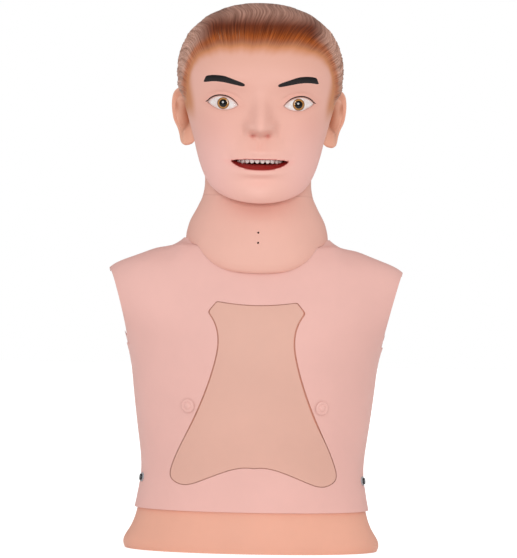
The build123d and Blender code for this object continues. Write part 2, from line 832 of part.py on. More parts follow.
head_hollow = head_form(skin_wall)
with BuildPart() as head_skin:
    add(head_form())
    add(ear.part)
    add(mirror(ear.part, about=Plane.YZ))
    add(head_hollow, mode=Mode.SUBTRACT)
    add(ring(0, stub_radius - stub_wall, stub_bottom, throat_top), mode=Mode.SUBTRACT)
    add(stub.part)
    add(extrude(eye_openings, amount=far), mode=Mode.SUBTRACT)
    add(extrude(mouth_opening, amount=far), mode=Mode.SUBTRACT)
    add(eyeballs.part, mode=Mode.SUBTRACT)
    nostril_plane = Plane(
        origin=(0, nostril_front, nostril_height),
        x_dir=(1, 0, 0),
        z_dir=(0, sin(radians(nostril_lean)), cos(radians(nostril_lean))),
    )
    nostrils = [(nostril_out, 0), (-nostril_out, 0)]
    add(rods(nostril_plane, nostrils, nostril_radius, nostril_depth), mode=Mode.SUBTRACT)
head_skin.part.label = "head_skin"
export_step(head_skin.part, "parts/head_skin.step")

# Eyes: front halves of balls behind the lids
with BuildPart() as left_eye:
    with Locations(eyeball_centre):
        Sphere(eyeball_radius)
    split(bisect_by=Plane.XZ.offset(-eyeball_centre[1]), keep=Keep.TOP)
left_eye.part.label = "left_eye"
export_step(left_eye.part, "parts/left_eye.step")

with BuildPart() as right_eye:
    add(mirror(left_eye.part, about=Plane.YZ))
right_eye.part.label = "right_eye"
export_step(right_eye.part, "parts/right_eye.step")

# Mouth cavity and throat funnel in one wall, trimmed to the inside of the head
with BuildPart() as liner_space:
    add(head_form(skin_wall + seat_gap))
    add(ring(0, stub_radius - stub_wall - seat_gap, turntable_top, throat_top))

with BuildPart() as mouth_liner:
    with BuildSketch(Plane.XZ):
        with Locations((0, (mouth_roof + mouth_floor) / 2)):
            RectangleRounded(2 * mouth_half_width, mouth_roof - mouth_floor, mouth_round)
    extrude(amount=far)
    add(liner_space.part, mode=Mode.INTERSECT)
    add(ring(0, throat_radius, turntable_top, throat_top))
    add(ring(0, throat_flange_radius, turntable_top, turntable_top + throat_flange))
    with BuildSketch(Plane.XZ):
        with Locations((0, (mouth_roof + mouth_floor) / 2)):
            RectangleRounded(
                2 * (mouth_half_width - liner_wall),
                mouth_roof - mouth_floor - 2 * liner_wall,
                mouth_round - liner_wall,
            )
    extrude(amount=far, mode=Mode.SUBTRACT)
    add(ring(0, throat_radius - liner_wall, turntable_top, throat_top - liner_wall), mode=Mode.SUBTRACT)
mouth_liner.part.label = "mouth_liner"
export_step(mouth_liner.part, "parts/mouth_liner.step")

# Upper teeth on their gum arch
with BuildPart() as upper_teeth:
    arch_middle = (0, teeth_centre)
    gum_bottom = tooth_tip + tooth_scallop + tooth_overlap
    with BuildSketch(Plane.XY.offset(gum_bottom)):
        with Locations(arch_middle):
            Circle(teeth_arch + tooth_depth / 2)
            Circle(teeth_arch - tooth_depth / 2, mode=Mode.SUBTRACT)
        with Locations((0, teeth_centre - gum_back)):
            Rectangle(far, far, align=(Align.CENTER, Align.MAX), mode=Mode.INTERSECT)
    extrude(amount=mouth_roof - liner_wall - seat_gap - gum_bottom)
    tooth_width = teeth_arch * radians(teeth_spread) / teeth_count
    for i in range(teeth_count):
        turn = radians(teeth_spread) * ((i + 0.5) / teeth_count - 0.5)
        tooth_plane = Plane(
            origin=(teeth_arch * sin(turn), teeth_centre - teeth_arch * cos(turn), tooth_tip),
            x_dir=(cos(turn), sin(turn), 0),
            z_dir=(sin(turn), -cos(turn), 0),
        )
        with BuildSketch(tooth_plane) as tooth:
            Rectangle(tooth_width, 2 * (tooth_scallop + tooth_overlap), align=(Align.CENTER, Align.MIN))
            fillet(tooth.vertices().group_by(Axis.Y)[0], tooth_round)
        extrude(amount=tooth_depth / 2, both=True)
upper_teeth.part.label = "upper_teeth"
export_step(upper_teeth.part, "parts/upper_teeth.step")

# Tongue
with BuildPart() as tongue:
    tongue_base = mouth_floor + liner_wall + seat_gap
    sections = []
    for rise, half_width, half_length in tongue_levels:
        with BuildSketch(Plane.XY.offset(tongue_base + rise)) as level:
            with Locations(tongue_centre):
                Ellipse(half_width, half_length)
        sections.append(level.sketch)
    loft(sections)
tongue.part.label = "tongue"
export_step(tongue.part, "parts/tongue.step")

# Larynx, with the mouths of the airway and the gullet, and the epiglottis on it
larynx_bottom = larynx_top - larynx_height
with BuildPart() as larynx:
    add(ring(0, larynx_radius, larynx_bottom, larynx_top))
    airway = rods(Plane.XY.offset(larynx_bottom), [(0, -trachea_forward)], trachea_bore, far)
    gullet = rods(Plane.XY.offset(larynx_bottom), [(0, gullet_back)], gullet_bore, far)
    add(airway, mode=Mode.SUBTRACT)
    add(gullet, mode=Mode.SUBTRACT)
larynx.part.label = "larynx"
export_step(larynx.part, "parts/larynx.step")

with BuildPart() as epiglottis:
    with BuildSketch(Plane.XZ.offset(trachea_forward + trachea_bore)):
        with Locations((0, larynx_top)):
            Rectangle(2 * epiglottis_half_width, epiglottis_height, align=(Align.CENTER, Align.MIN))
    extrude(amount=epiglottis_wall)
    fillet(epiglottis.edges().filter_by(Axis.Y).group_by(Axis.Z)[-1], epiglottis_half_width - screw_gap)
epiglottis.part.label = "epiglottis"
export_step(epiglottis.part, "parts/epiglottis.step")

# Trachea with its cartilage rings and the port behind the stoma
with BuildPart() as trachea:
    add(turned([
        (trachea_bore, trachea_bottom),
        (trachea_radius, trachea_bottom),
        (trachea_radius, larynx_bottom),
        (trachea_bore, larynx_bottom),
    ], trachea_forward))
    ring_count = int((larynx_bottom - trachea_bottom) / ring_pitch)
    for i in range(ring_count):
        ring_bottom = trachea_bottom + ring_pitch * i + (ring_pitch - ring_height) / 2
        add(turned([
            (trachea_bore, ring_bottom),
            (trachea_radius, ring_bottom),
            (trachea_radius + ring_rise, ring_bottom + ring_height / 3),
            (trachea_radius + ring_rise, ring_bottom + ring_height * 2 / 3),
            (trachea_radius, ring_bottom + ring_height),
            (trachea_bore, ring_bottom + ring_height),
        ], trachea_forward))
    port_plane = Plane.XZ.offset(trachea_forward)
    add(rods(port_plane, [(0, stoma_height)], port_radius, port_end - trachea_forward))
    trachea_foot = Plane.XY.offset(trachea_bottom)
    add(rods(trachea_foot, [(0, -trachea_forward)], trachea_bore, far), mode=Mode.SUBTRACT)
    add(rods(port_plane, [(0, stoma_height)], trachea_bore, far), mode=Mode.SUBTRACT)
trachea.part.label = "trachea"
export_step(trachea.part, "parts/trachea.step")

# Bronchi: a forked tube under the trachea
carina = (0, -trachea_forward, carina_height)


def forked(radius, top):
    """Both bronchi and the stem above them as one closed form"""
    with BuildPart() as part:
        with Locations(carina):
            Sphere(radius * carina_growth)
        stem = Plane.XY.offset(carina_height)
        add(rods(stem, [(0, -trachea_forward)], radius * carina_growth, top - carina_height))
        for side in (1, -1):
            way = Vector(side * bronchus_end[0], *bronchus_end[1:]) - Vector(*carina)
            add(rods(Plane(origin=carina, z_dir=way), [(0, 0)], radius, way.length))
    return part.part


with BuildPart() as bronchi:
    add(forked(bronchus_radius, trachea_bottom - screw_gap))
    add(forked(bronchus_bore, trachea_bottom + screw_gap), mode=Mode.SUBTRACT)
    for side in (1, -1):
        with Locations((side * bronchus_end[0], *bronchus_end[1:])):
            Sphere(bronchus_bore, mode=Mode.SUBTRACT)
bronchi.part.label = "bronchi"
export_step(bronchi.part, "parts/bronchi.step")

# Gullet
with BuildPart() as oesophagus:
    gullet_end = Plane.XY.offset(gullet_bottom)
    add(rods(gullet_end, [(0, gullet_back)], gullet_radius, larynx_bottom - gullet_bottom))
    add(rods(gullet_end, [(0, gullet_back)], gullet_bore, far), mode=Mode.SUBTRACT)
oesophagus.part.label = "oesophagus"
export_step(oesophagus.part, "parts/oesophagus.step")

# Panel across the torso that carries the organs
with BuildPart() as organ_tray:
    add(torso_form(cavity_inset + seat_gap, arm_recess + arm_dish_depth + shell_wall + seat_gap))
    split(bisect_by=Plane.XZ.offset(-tray_front), keep=Keep.BOTTOM)
    split(bisect_by=Plane.XZ.offset(-tray_front - tray_wall), keep=Keep.TOP)
    split(bisect_by=Plane.XY.offset(tray_bottom), keep=Keep.TOP)
    split(bisect_by=Plane.XY.offset(tray_top), keep=Keep.BOTTOM)
organ_tray.part.label = "organ_tray"
export_step(organ_tray.part, "parts/organ_tray.step")

# Lungs, flat where they rest on the panel, each with a socket for its bronchus
with BuildPart() as left_lung:
    sections = []
    for height, out, half_width, half_depth in lung_levels:
        with BuildSketch(Plane.XY.offset(height)) as level:
            with Locations((out, lung_middle)):
                Ellipse(half_width, half_depth)
        sections.append(level.sketch)
    loft(sections)
    split(bisect_by=Plane.XZ.offset(-tray_front + organ_gap), keep=Keep.TOP)
    way = Vector(*bronchus_end) - Vector(*carina)
    socket = Plane(origin=carina, z_dir=way)
    add(rods(socket, [(0, 0)], bronchus_radius + organ_gap, way.length + organ_gap), mode=Mode.SUBTRACT)
left_lung.part.label = "left_lung"
export_step(left_lung.part, "parts/left_lung.step")

with BuildPart() as right_lung:
    add(mirror(left_lung.part, about=Plane.YZ))
right_lung.part.label = "right_lung"
export_step(right_lung.part, "parts/right_lung.step")

# Stomach, hung from the gullet
with BuildPart() as stomach:
    sections = []
    for i, (centre, radius) in enumerate(stomach_path):
        before = Vector(*stomach_path[max(i - 1, 0)][0])
        after = Vector(*stomach_path[min(i + 1, len(stomach_path) - 1)][0])
        way = after - before if i else Vector(0, 0, -1)
        with BuildSketch(Plane(origin=centre, z_dir=way, x_dir=(0, 1, 0))) as level:
            Circle(radius)
        sections.append(level.sketch)
    loft(sections)
stomach.part.label = "stomach"
export_step(stomach.part, "parts/stomach.step")
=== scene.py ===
"""Looks of a tracheostomy care model: painted vinyl head with moulded hair, glassy eyes, teeth and
tongue, neck skin, chest cover with its vase-shaped plate, torso shell and the organs inside."""

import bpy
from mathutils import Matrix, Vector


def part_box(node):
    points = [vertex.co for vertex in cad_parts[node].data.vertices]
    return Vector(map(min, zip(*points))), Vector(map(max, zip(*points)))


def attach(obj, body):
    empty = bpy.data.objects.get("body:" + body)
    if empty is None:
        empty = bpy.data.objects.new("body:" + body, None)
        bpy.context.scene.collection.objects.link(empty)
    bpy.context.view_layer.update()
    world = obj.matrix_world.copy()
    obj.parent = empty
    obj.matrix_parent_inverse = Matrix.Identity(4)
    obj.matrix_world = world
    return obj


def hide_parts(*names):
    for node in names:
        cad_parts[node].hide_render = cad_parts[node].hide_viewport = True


bl_info = {
    "name": "Tracheostomy care model",
    "version": (1, 0, 0),
    "blender": (4, 5, 0),
    "location": "3D View > Sidebar > Care model",
    "description": "Dresses the packed care model and sets its camera, floor and lights",
    "category": "Object",
}

from math import cos, pi, radians, sin, tan

import bpy
import numpy as np
from bpy.props import FloatProperty, FloatVectorProperty, IntProperty, PointerProperty
from mathutils import Euler, Vector

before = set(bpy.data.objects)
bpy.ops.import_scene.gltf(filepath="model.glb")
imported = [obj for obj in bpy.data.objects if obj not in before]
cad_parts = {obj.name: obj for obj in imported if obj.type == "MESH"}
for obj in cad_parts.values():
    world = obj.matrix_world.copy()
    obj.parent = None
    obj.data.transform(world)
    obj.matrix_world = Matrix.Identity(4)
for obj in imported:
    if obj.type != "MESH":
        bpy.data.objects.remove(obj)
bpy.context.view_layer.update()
MM = 0.001
UP = np.array([0.0, 0.0, 1.0])

# Distances in metres within which points of a wrapped grid, and of a solid's copy, become one
GRID_MERGE = 0.00002
COPY_MERGE = 0.00001

# Head form, as in the solid: height, half width, front, back, in millimetres
HEAD_LEVELS = [
    (417.0, 61.0, 88.0, 62.0), (424.0, 65.5, 91.5, 67.5), (432.0, 69.0, 94.0, 73.5),
    (442.0, 72.3, 95.5, 81.0), (452.0, 75.0, 95.5, 88.0), (462.0, 78.0, 95.0, 94.0),
    (472.0, 81.0, 94.5, 99.0), (482.0, 84.0, 94.5, 103.0), (494.0, 87.0, 96.0, 105.5),
    (508.0, 89.6, 99.0, 107.0), (527.0, 90.8, 100.0, 107.0), (548.0, 87.4, 95.5, 101.0),
    (564.0, 79.8, 86.5, 91.5), (577.0, 69.0, 74.0, 79.5), (588.0, 53.8, 57.0, 62.5),
    (595.0, 37.0, 39.0, 43.0), (599.0, 20.0, 20.0, 24.0), (600.0, 9.0, 9.0, 12.0),
]
JAW_TILT = 24.0
LEVEL_HEIGHT = 500.0
SQUARENESS = 0.88
FACE_REACH = 45.0
HAIR_THICKNESS = 3.4
HAIR_EDGE = 15.0
STUB_RADIUS = 56.0
COLLAR_RADIUS = 58.6
STUB_BOTTOM = 386.2
COLLAR_BOTTOM = 388.15
COLLAR = [(0.0, 60.3), (3.0, 59.7), (8.0, 58.8), (14.0, 58.4), (26.0, 58.6)]

# Hairline: turn from the front in degrees, height of the hair's lower edge
HAIRLINE = [
    (0.0, 549.5), (20.0, 549.5), (32.0, 548.0), (42.0, 543.0), (51.0, 534.0), (57.0, 521.0),
    (64.0, 503.0), (72.0, 489.0), (84.0, 492.0), (96.0, 510.0), (108.0, 508.0), (119.0, 488.0),
    (132.0, 464.0), (150.0, 452.0), (180.0, 450.0),
]

# Nose: height, how far it stands out, half spread across
NOSE = [
    (512.0, 0.0, 11.0), (500.0, 1.5, 10.0), (490.0, 5.5, 9.5), (480.0, 12.0, 10.0), (470.0, 19.5, 11.5),
    (463.0, 23.5, 12.6), (458.0, 21.5, 13.0), (453.5, 10.5, 12.8), (449.5, 1.5, 11.0), (444.0, 0.0, 10.0),
]

# Mounds and hollows of the face: out from the middle, height, spread across, spread up, rise
FACE_FORMS = [
    (38.0, 512.0, 26.0, 9.0, 2.6), (41.0, 490.0, 20.0, 13.0, -8.0), (41.5, 490.0, 16.0, 8.5, 5.0),
    (14.0, 459.0, 5.0, 6.0, 6.5), (46.0, 463.0, 20.0, 20.0, 3.0), (0.0, 428.0, 34.0, 20.0, 4.5),
    (0.0, 434.0, 24.0, 4.5, 2.2), (0.0, 411.5, 21.0, 5.0, 3.2), (0.0, 402.5, 24.0, 5.0, -2.2),
    (0.0, 389.0, 22.0, 12.0, 5.5),
    (6.0, 434.5, 5.0, 2.6, 0.8), (0.0, 441.5, 2.4, 5.0, -0.9), (4.8, 442.0, 2.2, 6.0, 0.5),
    (35.0, 427.5, 4.0, 5.0, -1.0), (20.5, 456.0, 2.6, 6.5, -1.3), (27.0, 446.0, 5.0, 8.0, -0.8),
    (0.0, 411.5, 16.0, 2.6, 0.9), (7.6, 451.8, 3.0, 2.2, -2.6), (0.0, 452.5, 2.4, 3.6, 1.2),
]

# Openings in the face, as seen from the front
EYE_CENTRE = (41.4, 486.5)
EYE_INNER = (24.6, 484.4)
EYE_OUTER = (58.0, 488.4)
EYE_TOP = 494.6
EYE_BOTTOM = 479.6
MOUTH_CENTRE = (0.0, 421.6)
MOUTH_CORNER = (31.2, 424.9)
MOUTH_TOP = 426.5
MOUTH_BOTTOM = 414.8

# Middle of the iris, as its distance from the middle of the eye's opening
IRIS_OFFSET = (-0.6, 0.2)

# Row of upper teeth: an arc with its middle behind the solid's back and its tips below the solid
TEETH_RADIUS = 27.0
TEETH_SPREAD = radians(118.0)
TEETH_BEHIND = 10.0
TEETH_BELOW = 3.3
TOOTH_DEPTH = 4.6
TOOTH_HEIGHT = 11.5

# Nipples: place in metres, then each ring's radius and height in millimetres
NIPPLE_PLACE = (0.073, 0.159)
NIPPLE_RINGS = (
    (0.0, 1.5), (1.2, 1.45), (2.4, 1.2), (3.4, 0.7), (4.0, 0.15), (4.6, 0.3), (5.6, 0.75), (6.6, 0.5),
    (7.6, -0.3),
)


# Settings: every helper takes a name, a description and a default


def rise_of(name, text, default, highest):
    return FloatProperty(name=name, description=text, default=default, min=0.0, max=highest)


def length_of(name, text, default):
    return FloatProperty(name=name, description=text, default=default, unit="LENGTH")


def angle_of(name, text, degrees):
    return FloatProperty(name=name, description=text, default=radians(degrees), subtype="ANGLE")


def strength_of(name, text, default):
    return FloatProperty(name=name, description=text, default=default, min=0.0)


def colour_of(name, text, default):
    return FloatVectorProperty(name=name, description=text, subtype="COLOR", size=3, default=default)


class HeadSettings(bpy.types.PropertyGroup):
    """Sizes of the head's finer forms"""
    lid_rise: rise_of("Lid rise", "How far the lids stand round the eye, in mm", 1.5, 4.0)
    lock_rise: rise_of("Lock rise", "Height of the moulded locks of hair, in mm", 0.9, 2.0)
    strand_rise: rise_of("Strand rise", "Height of the finer strands, in mm", 0.45, 1.0)
    iris: length_of("Iris", "Radius of the iris", 0.0064)
    pupil: length_of("Pupil", "Radius of the pupil", 0.0043)
    teeth: IntProperty(name="Teeth", description="Upper teeth in the arch", default=10, min=6, max=16)


class ColourSettings(bpy.types.PropertyGroup):
    """Colours of the vinyl skins and the paint"""
    head: colour_of("Head", "Vinyl of the head", (0.80, 0.440, 0.362))
    neck: colour_of("Neck", "Vinyl of the neck skin", (0.80, 0.445, 0.365))
    cover: colour_of("Cover", "Skin of the chest and shoulders", (0.79, 0.455, 0.405))
    plate: colour_of("Plate", "Skin of the chest plate", (0.715, 0.410, 0.330))
    shell: colour_of("Shell", "Plastic of the abdomen and the back", (0.80, 0.405, 0.295))
    hair: colour_of("Hair", "Brown hair paint", (0.125, 0.022, 0.0050))
    # Tan where the brown paint thins at the sides, and a painted sheen at the sides and crown
    hair_thin_paint_and_sheen: colour_of("Hair rim", "Thin paint at the sides", (0.50, 0.275, 0.200))
    airbrush: colour_of("Airbrush", "Orange spray along the hairline", (0.57, 0.200, 0.062))
    mouth: colour_of("Mouth", "Lining of the mouth", (0.80, 0.030, 0.022))


class StageSettings(bpy.types.PropertyGroup):
    """Camera and lights"""
    distance: length_of("Distance", "Camera's distance from the model", 4.5)
    height: length_of("Height", "Camera's height over the floor", 0.33)
    view_height: length_of("View height", "Height that the picture shows at the model", 0.614)
    middle: length_of("Middle", "Height of the picture's middle", 0.297)
    side: length_of("Side", "Shift of the view's middle to the model's left", 0.0026)
    turn: angle_of("Turn", "Camera's turn to the model's right", 1.0)
    roll: angle_of("Roll", "Camera's roll", 1.15)
    key: strength_of("Key", "Strength of the main light", 0.82)
    fill: strength_of("Fill", "Strength of the fill light", 0.30)
    sky: strength_of("Sky", "Light from all round", 0.72)


# Working tools

def smooth(rows, at):
    """Values between the rows at places in their first column, along one cubic in each gap"""
    rows = np.array(sorted(rows))
    place, value = rows[:, 0], rows[:, 1:]
    last = len(place) - 1
    index = np.arange(last + 1)
    before, after = np.maximum(index - 1, 0), np.minimum(index + 1, last)
    slope = (value[after] - value[before]) / (place[after] - place[before])[:, None]
    at = np.clip(at, place[0], place[-1])
    low = np.clip(np.searchsorted(place, at, side="right") - 1, 0, last - 1)
    gap = (place[low + 1] - place[low])[..., None]
    t = (at - place[low])[..., None] / gap
    return (
        (2 * t**3 - 3 * t**2 + 1) * value[low]
        + (t**3 - 2 * t**2 + t) * gap * slope[low]
        + (3 * t**2 - 2 * t**3) * value[low + 1]
        + (t**3 - t**2) * gap * slope[low + 1]
    )


def ease(share):
    """Smooth step from 0 to 1"""
    share = np.clip(share, 0.0, 1.0)
    return share * share * (3 - 2 * share)


def bell(offset, spread):
    """Rounded bump of height 1 over an offset of 0"""
    return np.exp(-((offset / spread) ** 2))


def deselect():
    bpy.ops.object.select_all(action="DESELECT")


def make_active(piece):
    deselect()
    piece.select_set(True)
    bpy.context.view_layer.objects.active = piece


def points_of(mesh):
    """A mesh's points in metres, one in each row"""
    flat = np.empty(len(mesh.vertices) * 3)
    mesh.vertices.foreach_get("co", flat)
    return flat.reshape(-1, 3)


def place_points(mesh, points):
    mesh.vertices.foreach_set("co", np.ascontiguousarray(points, dtype=float).ravel())
    mesh.update()


def sheet_grid(name, columns, rows):
    """A plane grid with this many points each way, and each point's column and row"""
    bpy.ops.mesh.primitive_grid_add(x_subdivisions=columns - 1, y_subdivisions=rows - 1, size=2)
    piece = bpy.context.active_object
    piece.name = piece.data.name = name
    flat = points_of(piece.data)
    column = np.rint((flat[:, 0] + 1) / 2 * (columns - 1)).astype(int)
    row = np.rint((flat[:, 1] + 1) / 2 * (rows - 1)).astype(int)
    return piece, column, row


def wrap(name, points):
    """A grid wrapped into the form that points[row, column] give, in millimetres"""
    rows, columns = points.shape[:2]
    piece, column, row = sheet_grid(name, columns, rows)
    place_points(piece.data, points[row, column] * MM)
    return piece


def edit_whole(piece, *steps):
    """Takes steps in edit mode with all of a piece selected"""
    make_active(piece)
    bpy.ops.object.mode_set(mode="EDIT")
    bpy.ops.mesh.select_all(action="SELECT")
    for step in steps:
        step()
    bpy.ops.object.mode_set(mode="OBJECT")


def close_seams(piece, outwards=True):
    """Merges the grid's seam and poles and points its faces out"""
    steps = [lambda: bpy.ops.mesh.remove_doubles(threshold=GRID_MERGE)]
    if outwards:
        steps.append(lambda: bpy.ops.mesh.normals_make_consistent(inside=False))
    edit_whole(piece, *steps, lambda: bpy.ops.mesh.select_all(action="DESELECT"))


def turn_over(piece):
    """Turns all of a piece's faces the other way"""
    edit_whole(piece, bpy.ops.mesh.flip_normals)


def store(mesh, name, values):
    """Keeps one number for each point of a mesh under a name"""
    mesh.attributes.new(name, "FLOAT", "POINT").data.foreach_set("value", values)


def stored(mesh, name):
    """The numbers that a mesh keeps under a name"""
    values = np.zeros(len(mesh.vertices))
    mesh.attributes[name].data.foreach_get("value", values)
    return values


def smooth_faces(piece, angle=40.0):
    """Shades a piece smooth, with edges sharper than an angle in degrees left sharp"""
    make_active(piece)
    bpy.ops.object.shade_smooth_by_angle(angle=radians(angle))
    deselect()


def join(pieces, name):
    """Makes one piece of several, under a new name"""
    deselect()
    for piece in pieces:
        piece.select_set(True)
    bpy.context.view_layer.objects.active = pieces[0]
    bpy.ops.object.join()
    pieces[0].name = pieces[0].data.name = name
    deselect()
    return pieces[0]


def coat(piece, material):
    """Gives a piece this material alone"""
    piece.data.materials.clear()
    piece.data.materials.append(material)


def dress(piece, material, body, nodes=()):
    """Gives a finished piece its material and its body, and hides the nodes it stands for"""
    coat(piece, material)
    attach(piece, body)
    if nodes:
        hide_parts(*nodes)


# Materials

class Finish:
    """A material under construction, with short names for the nodes in use"""

    def __init__(self, name, roughness=0.5):
        self.material = bpy.data.materials.new(name)
        self.material.use_nodes = True
        self.nodes = self.material.node_tree.nodes
        self.links = self.material.node_tree.links
        self.shader = self.nodes["Principled BSDF"]
        self.shader.inputs["Roughness"].default_value = roughness
        self.place = self.nodes.new("ShaderNodeTexCoord").outputs["Object"]

    def stretch(self, scale, place=None):
        node = self.nodes.new("ShaderNodeMapping")
        node.inputs["Scale"].default_value = scale
        self.links.new(place or self.place, node.inputs["Vector"])
        return node.outputs["Vector"]

    def noise(self, scale, detail=4.0, roughness=0.55, place=None):
        node = self.nodes.new("ShaderNodeTexNoise")
        node.inputs["Scale"].default_value = scale
        node.inputs["Detail"].default_value = detail
        node.inputs["Roughness"].default_value = roughness
        self.links.new(place or self.place, node.inputs["Vector"])
        return node.outputs["Fac"]

    def ramp(self, fac, stops):
        node = self.nodes.new("ShaderNodeValToRGB")
        ramp = node.color_ramp
        while len(ramp.elements) < len(stops):
            ramp.elements.new(0.5)
        for element, (at, colour) in zip(ramp.elements, stops):
            element.position = at
            element.color = (*colour, 1.0) if len(colour) == 3 else colour
        self.links.new(fac, node.inputs["Fac"])
        return node.outputs["Color"]

    def grey(self, fac, low, high):
        return self.ramp(fac, [(low, (0, 0, 0)), (high, (1, 1, 1))])

    def feed(self, value, socket):
        """Links an output to a socket, or sets the socket to a colour or a number"""
        if hasattr(value, "links"):
            self.links.new(value, socket)
        elif hasattr(value, "__len__"):
            socket.default_value = (*value, 1.0)
        else:
            socket.default_value = value

    def mix(self, fac, first, second, blend="MIX"):
        node = self.nodes.new("ShaderNodeMix")
        node.data_type = "RGBA"
        node.blend_type = blend
        # A mix node keeps its colours in sockets 6 and 7 and gives them out by socket 2
        self.feed(fac, node.inputs[0])
        self.feed(first, node.inputs[6])
        self.feed(second, node.inputs[7])
        return node.outputs[2]

    def math(self, operation, first, second=0.0, clamp=False):
        node = self.nodes.new("ShaderNodeMath")
        node.operation = operation
        node.use_clamp = clamp
        self.feed(first, node.inputs[0])
        self.feed(second, node.inputs[1])
        return node.outputs[0]

    def product(self, first, second):
        return self.math("MULTIPLY", first, second)

    def sum(self, first, second):
        return self.math("ADD", first, second)

    def attribute(self, name, output="Fac"):
        node = self.nodes.new("ShaderNodeAttribute")
        node.attribute_name = name
        return node.outputs[output]

    def colour(self, colour):
        self.links.new(colour, self.shader.inputs["Base Color"])

    def roughness(self, value):
        self.links.new(value, self.shader.inputs["Roughness"])

    def bump(self, height, strength, distance):
        node = self.nodes.new("ShaderNodeBump")
        node.inputs["Strength"].default_value = strength
        node.inputs["Distance"].default_value = distance
        self.links.new(height, node.inputs["Height"])
        self.links.new(node.outputs["Normal"], self.shader.inputs["Normal"])


def vinyl(name, colour, roughness=0.55, grain=900.0, mottle=0.06):
    """Soft moulded skin: slow blotches, a fine grain and an uneven sheen"""
    finish = Finish(name, roughness)
    finish.shader.inputs["Specular IOR Level"].default_value = 0.28
    base = np.array(colour)
    slow = finish.noise(14.0, 3.0, 0.5)
    fine = finish.noise(110.0, 3.0, 0.6)
    tone = finish.ramp(slow, [(0.30, tuple(base * (1 - mottle))), (0.52, tuple(base)),
                              (0.72, tuple(np.minimum(base * (1 + mottle), 0.95)))])
    speckle = finish.ramp(fine, [(0.35, tuple(base * 0.82)), (0.65, tuple(base))])
    finish.colour(finish.mix(0.05, tone, speckle))
    low, high = roughness - 0.07, roughness + 0.07
    finish.roughness(finish.ramp(fine, [(0.3, (low, low, low)), (0.7, (high, high, high))]))
    finish.bump(finish.sum(finish.noise(grain, 2.0, 0.6), finish.noise(90.0, 2.0, 0.5)), 0.12, 0.0004)
    return finish.material


def moulded(name, colour, roughness=0.4, mottle=0.04):
    """Hard moulded plastic, with a coarser grain than the soft skins"""
    return vinyl(name, colour, roughness, 600.0, mottle)


def metal(name):
    """Turned steel, with fine marks across its length"""
    finish = Finish(name, 0.32)
    finish.shader.inputs["Metallic"].default_value = 1.0
    turned = finish.noise(60.0, 3.0, 0.6, finish.stretch((1.0, 1.0, 12.0)))
    finish.colour(finish.ramp(turned, [(0.3, (0.50, 0.50, 0.50)), (0.7, (0.68, 0.68, 0.67))]))
    finish.roughness(finish.ramp(turned, [(0.3, (0.24, 0.24, 0.24)), (0.7, (0.42, 0.42, 0.42))]))
    return finish.material


# Head form

along_rows = [0.0]
for below, above in zip(HEAD_LEVELS, HEAD_LEVELS[1:]):
    along_rows.append(along_rows[-1] + float(np.hypot(above[0] - below[0], above[1] - below[1])))
HEAD_ROWS = [(place, *level) for place, level in zip(along_rows, HEAD_LEVELS)]
HEAD_LENGTH = along_rows[-1]


def outline_share(x, z, centre, reach):
    """How far out a place lies, as a share of an opening's outline, which is 1"""
    across, up = x - centre[0], z - centre[1]
    angle = np.arctan2(up, across)
    return np.hypot(across, up) / reach(angle), angle


def outline_reach(points, centre):
    """The outline's distance from its centre for any angle, from points along it"""
    across = np.array([x - centre[0] for x, _ in points])
    up = np.array([z - centre[1] for _, z in points])
    angle, distance = np.arctan2(up, across), np.hypot(across, up)
    order = np.argsort(angle)
    angle, distance = angle[order], distance[order]
    angle = np.concatenate([[angle[-1] - 2 * pi], angle, [angle[0] + 2 * pi]])
    distance = np.concatenate([[distance[-1]], distance, [distance[0]]])
    return lambda at: np.interp(at, angle, distance)


def arched(start, peak, end, count=60, flat=2.0, blunt=1.0):
    """Points along an arch from one corner to the other, over a given height"""
    share = (1 - np.cos(np.linspace(0.0, pi, count))) / 2
    x = start[0] + (end[0] - start[0]) * share
    base = start[1] + (end[1] - start[1]) * share
    middle = (start[1] + end[1]) / 2
    return list(zip(x, base + (peak - middle) * (1 - np.abs(2 * share - 1) ** flat) ** blunt))


EYE_OUTLINE = (arched(EYE_INNER, EYE_TOP, EYE_OUTER, 60, 2.2, 0.9)
               + arched(EYE_OUTER, EYE_BOTTOM, EYE_INNER, 60, 2.1, 0.9)[1:-1])
LEFT_CORNER = (-MOUTH_CORNER[0], MOUTH_CORNER[1])
MOUTH_OUTLINE = (arched(LEFT_CORNER, MOUTH_TOP, MOUTH_CORNER, 90, 2.0, 0.5)
                 + arched(MOUTH_CORNER, MOUTH_BOTTOM, LEFT_CORNER, 90, 2.4, 0.72)[1:-1])
eye_reach = outline_reach(EYE_OUTLINE, EYE_CENTRE)
mouth_reach = outline_reach(MOUTH_OUTLINE, MOUTH_CENTRE)


def hair_edge(x, y, z):
    """Height of the hair's lower edge at a place, uneven where the locks end"""
    comb = combed(x, y, z)
    return (smooth(HAIRLINE, np.degrees(np.arctan2(np.abs(x), -y)))[..., 0]
            + 0.8 * np.sin(23 * comb + 1.0) + 0.3 * np.sin(67 * comb))


def hair_cover(x, y, z):
    """Share of the hair at a place on the head, 0 on the face and 1 under the hair"""
    return ease((z - hair_edge(x, y, z)) / HAIR_EDGE)


def combed(x, y, z):
    """Angle that stays the same along a strand: the hair is parted on the model's right"""
    lean = 0.030 * np.sin(y / 19.0 + 2.0) + 0.008 * np.sin(y / 8.0 + z / 19.0)
    return np.arctan2(x + 26.0, z - 462.0) + lean


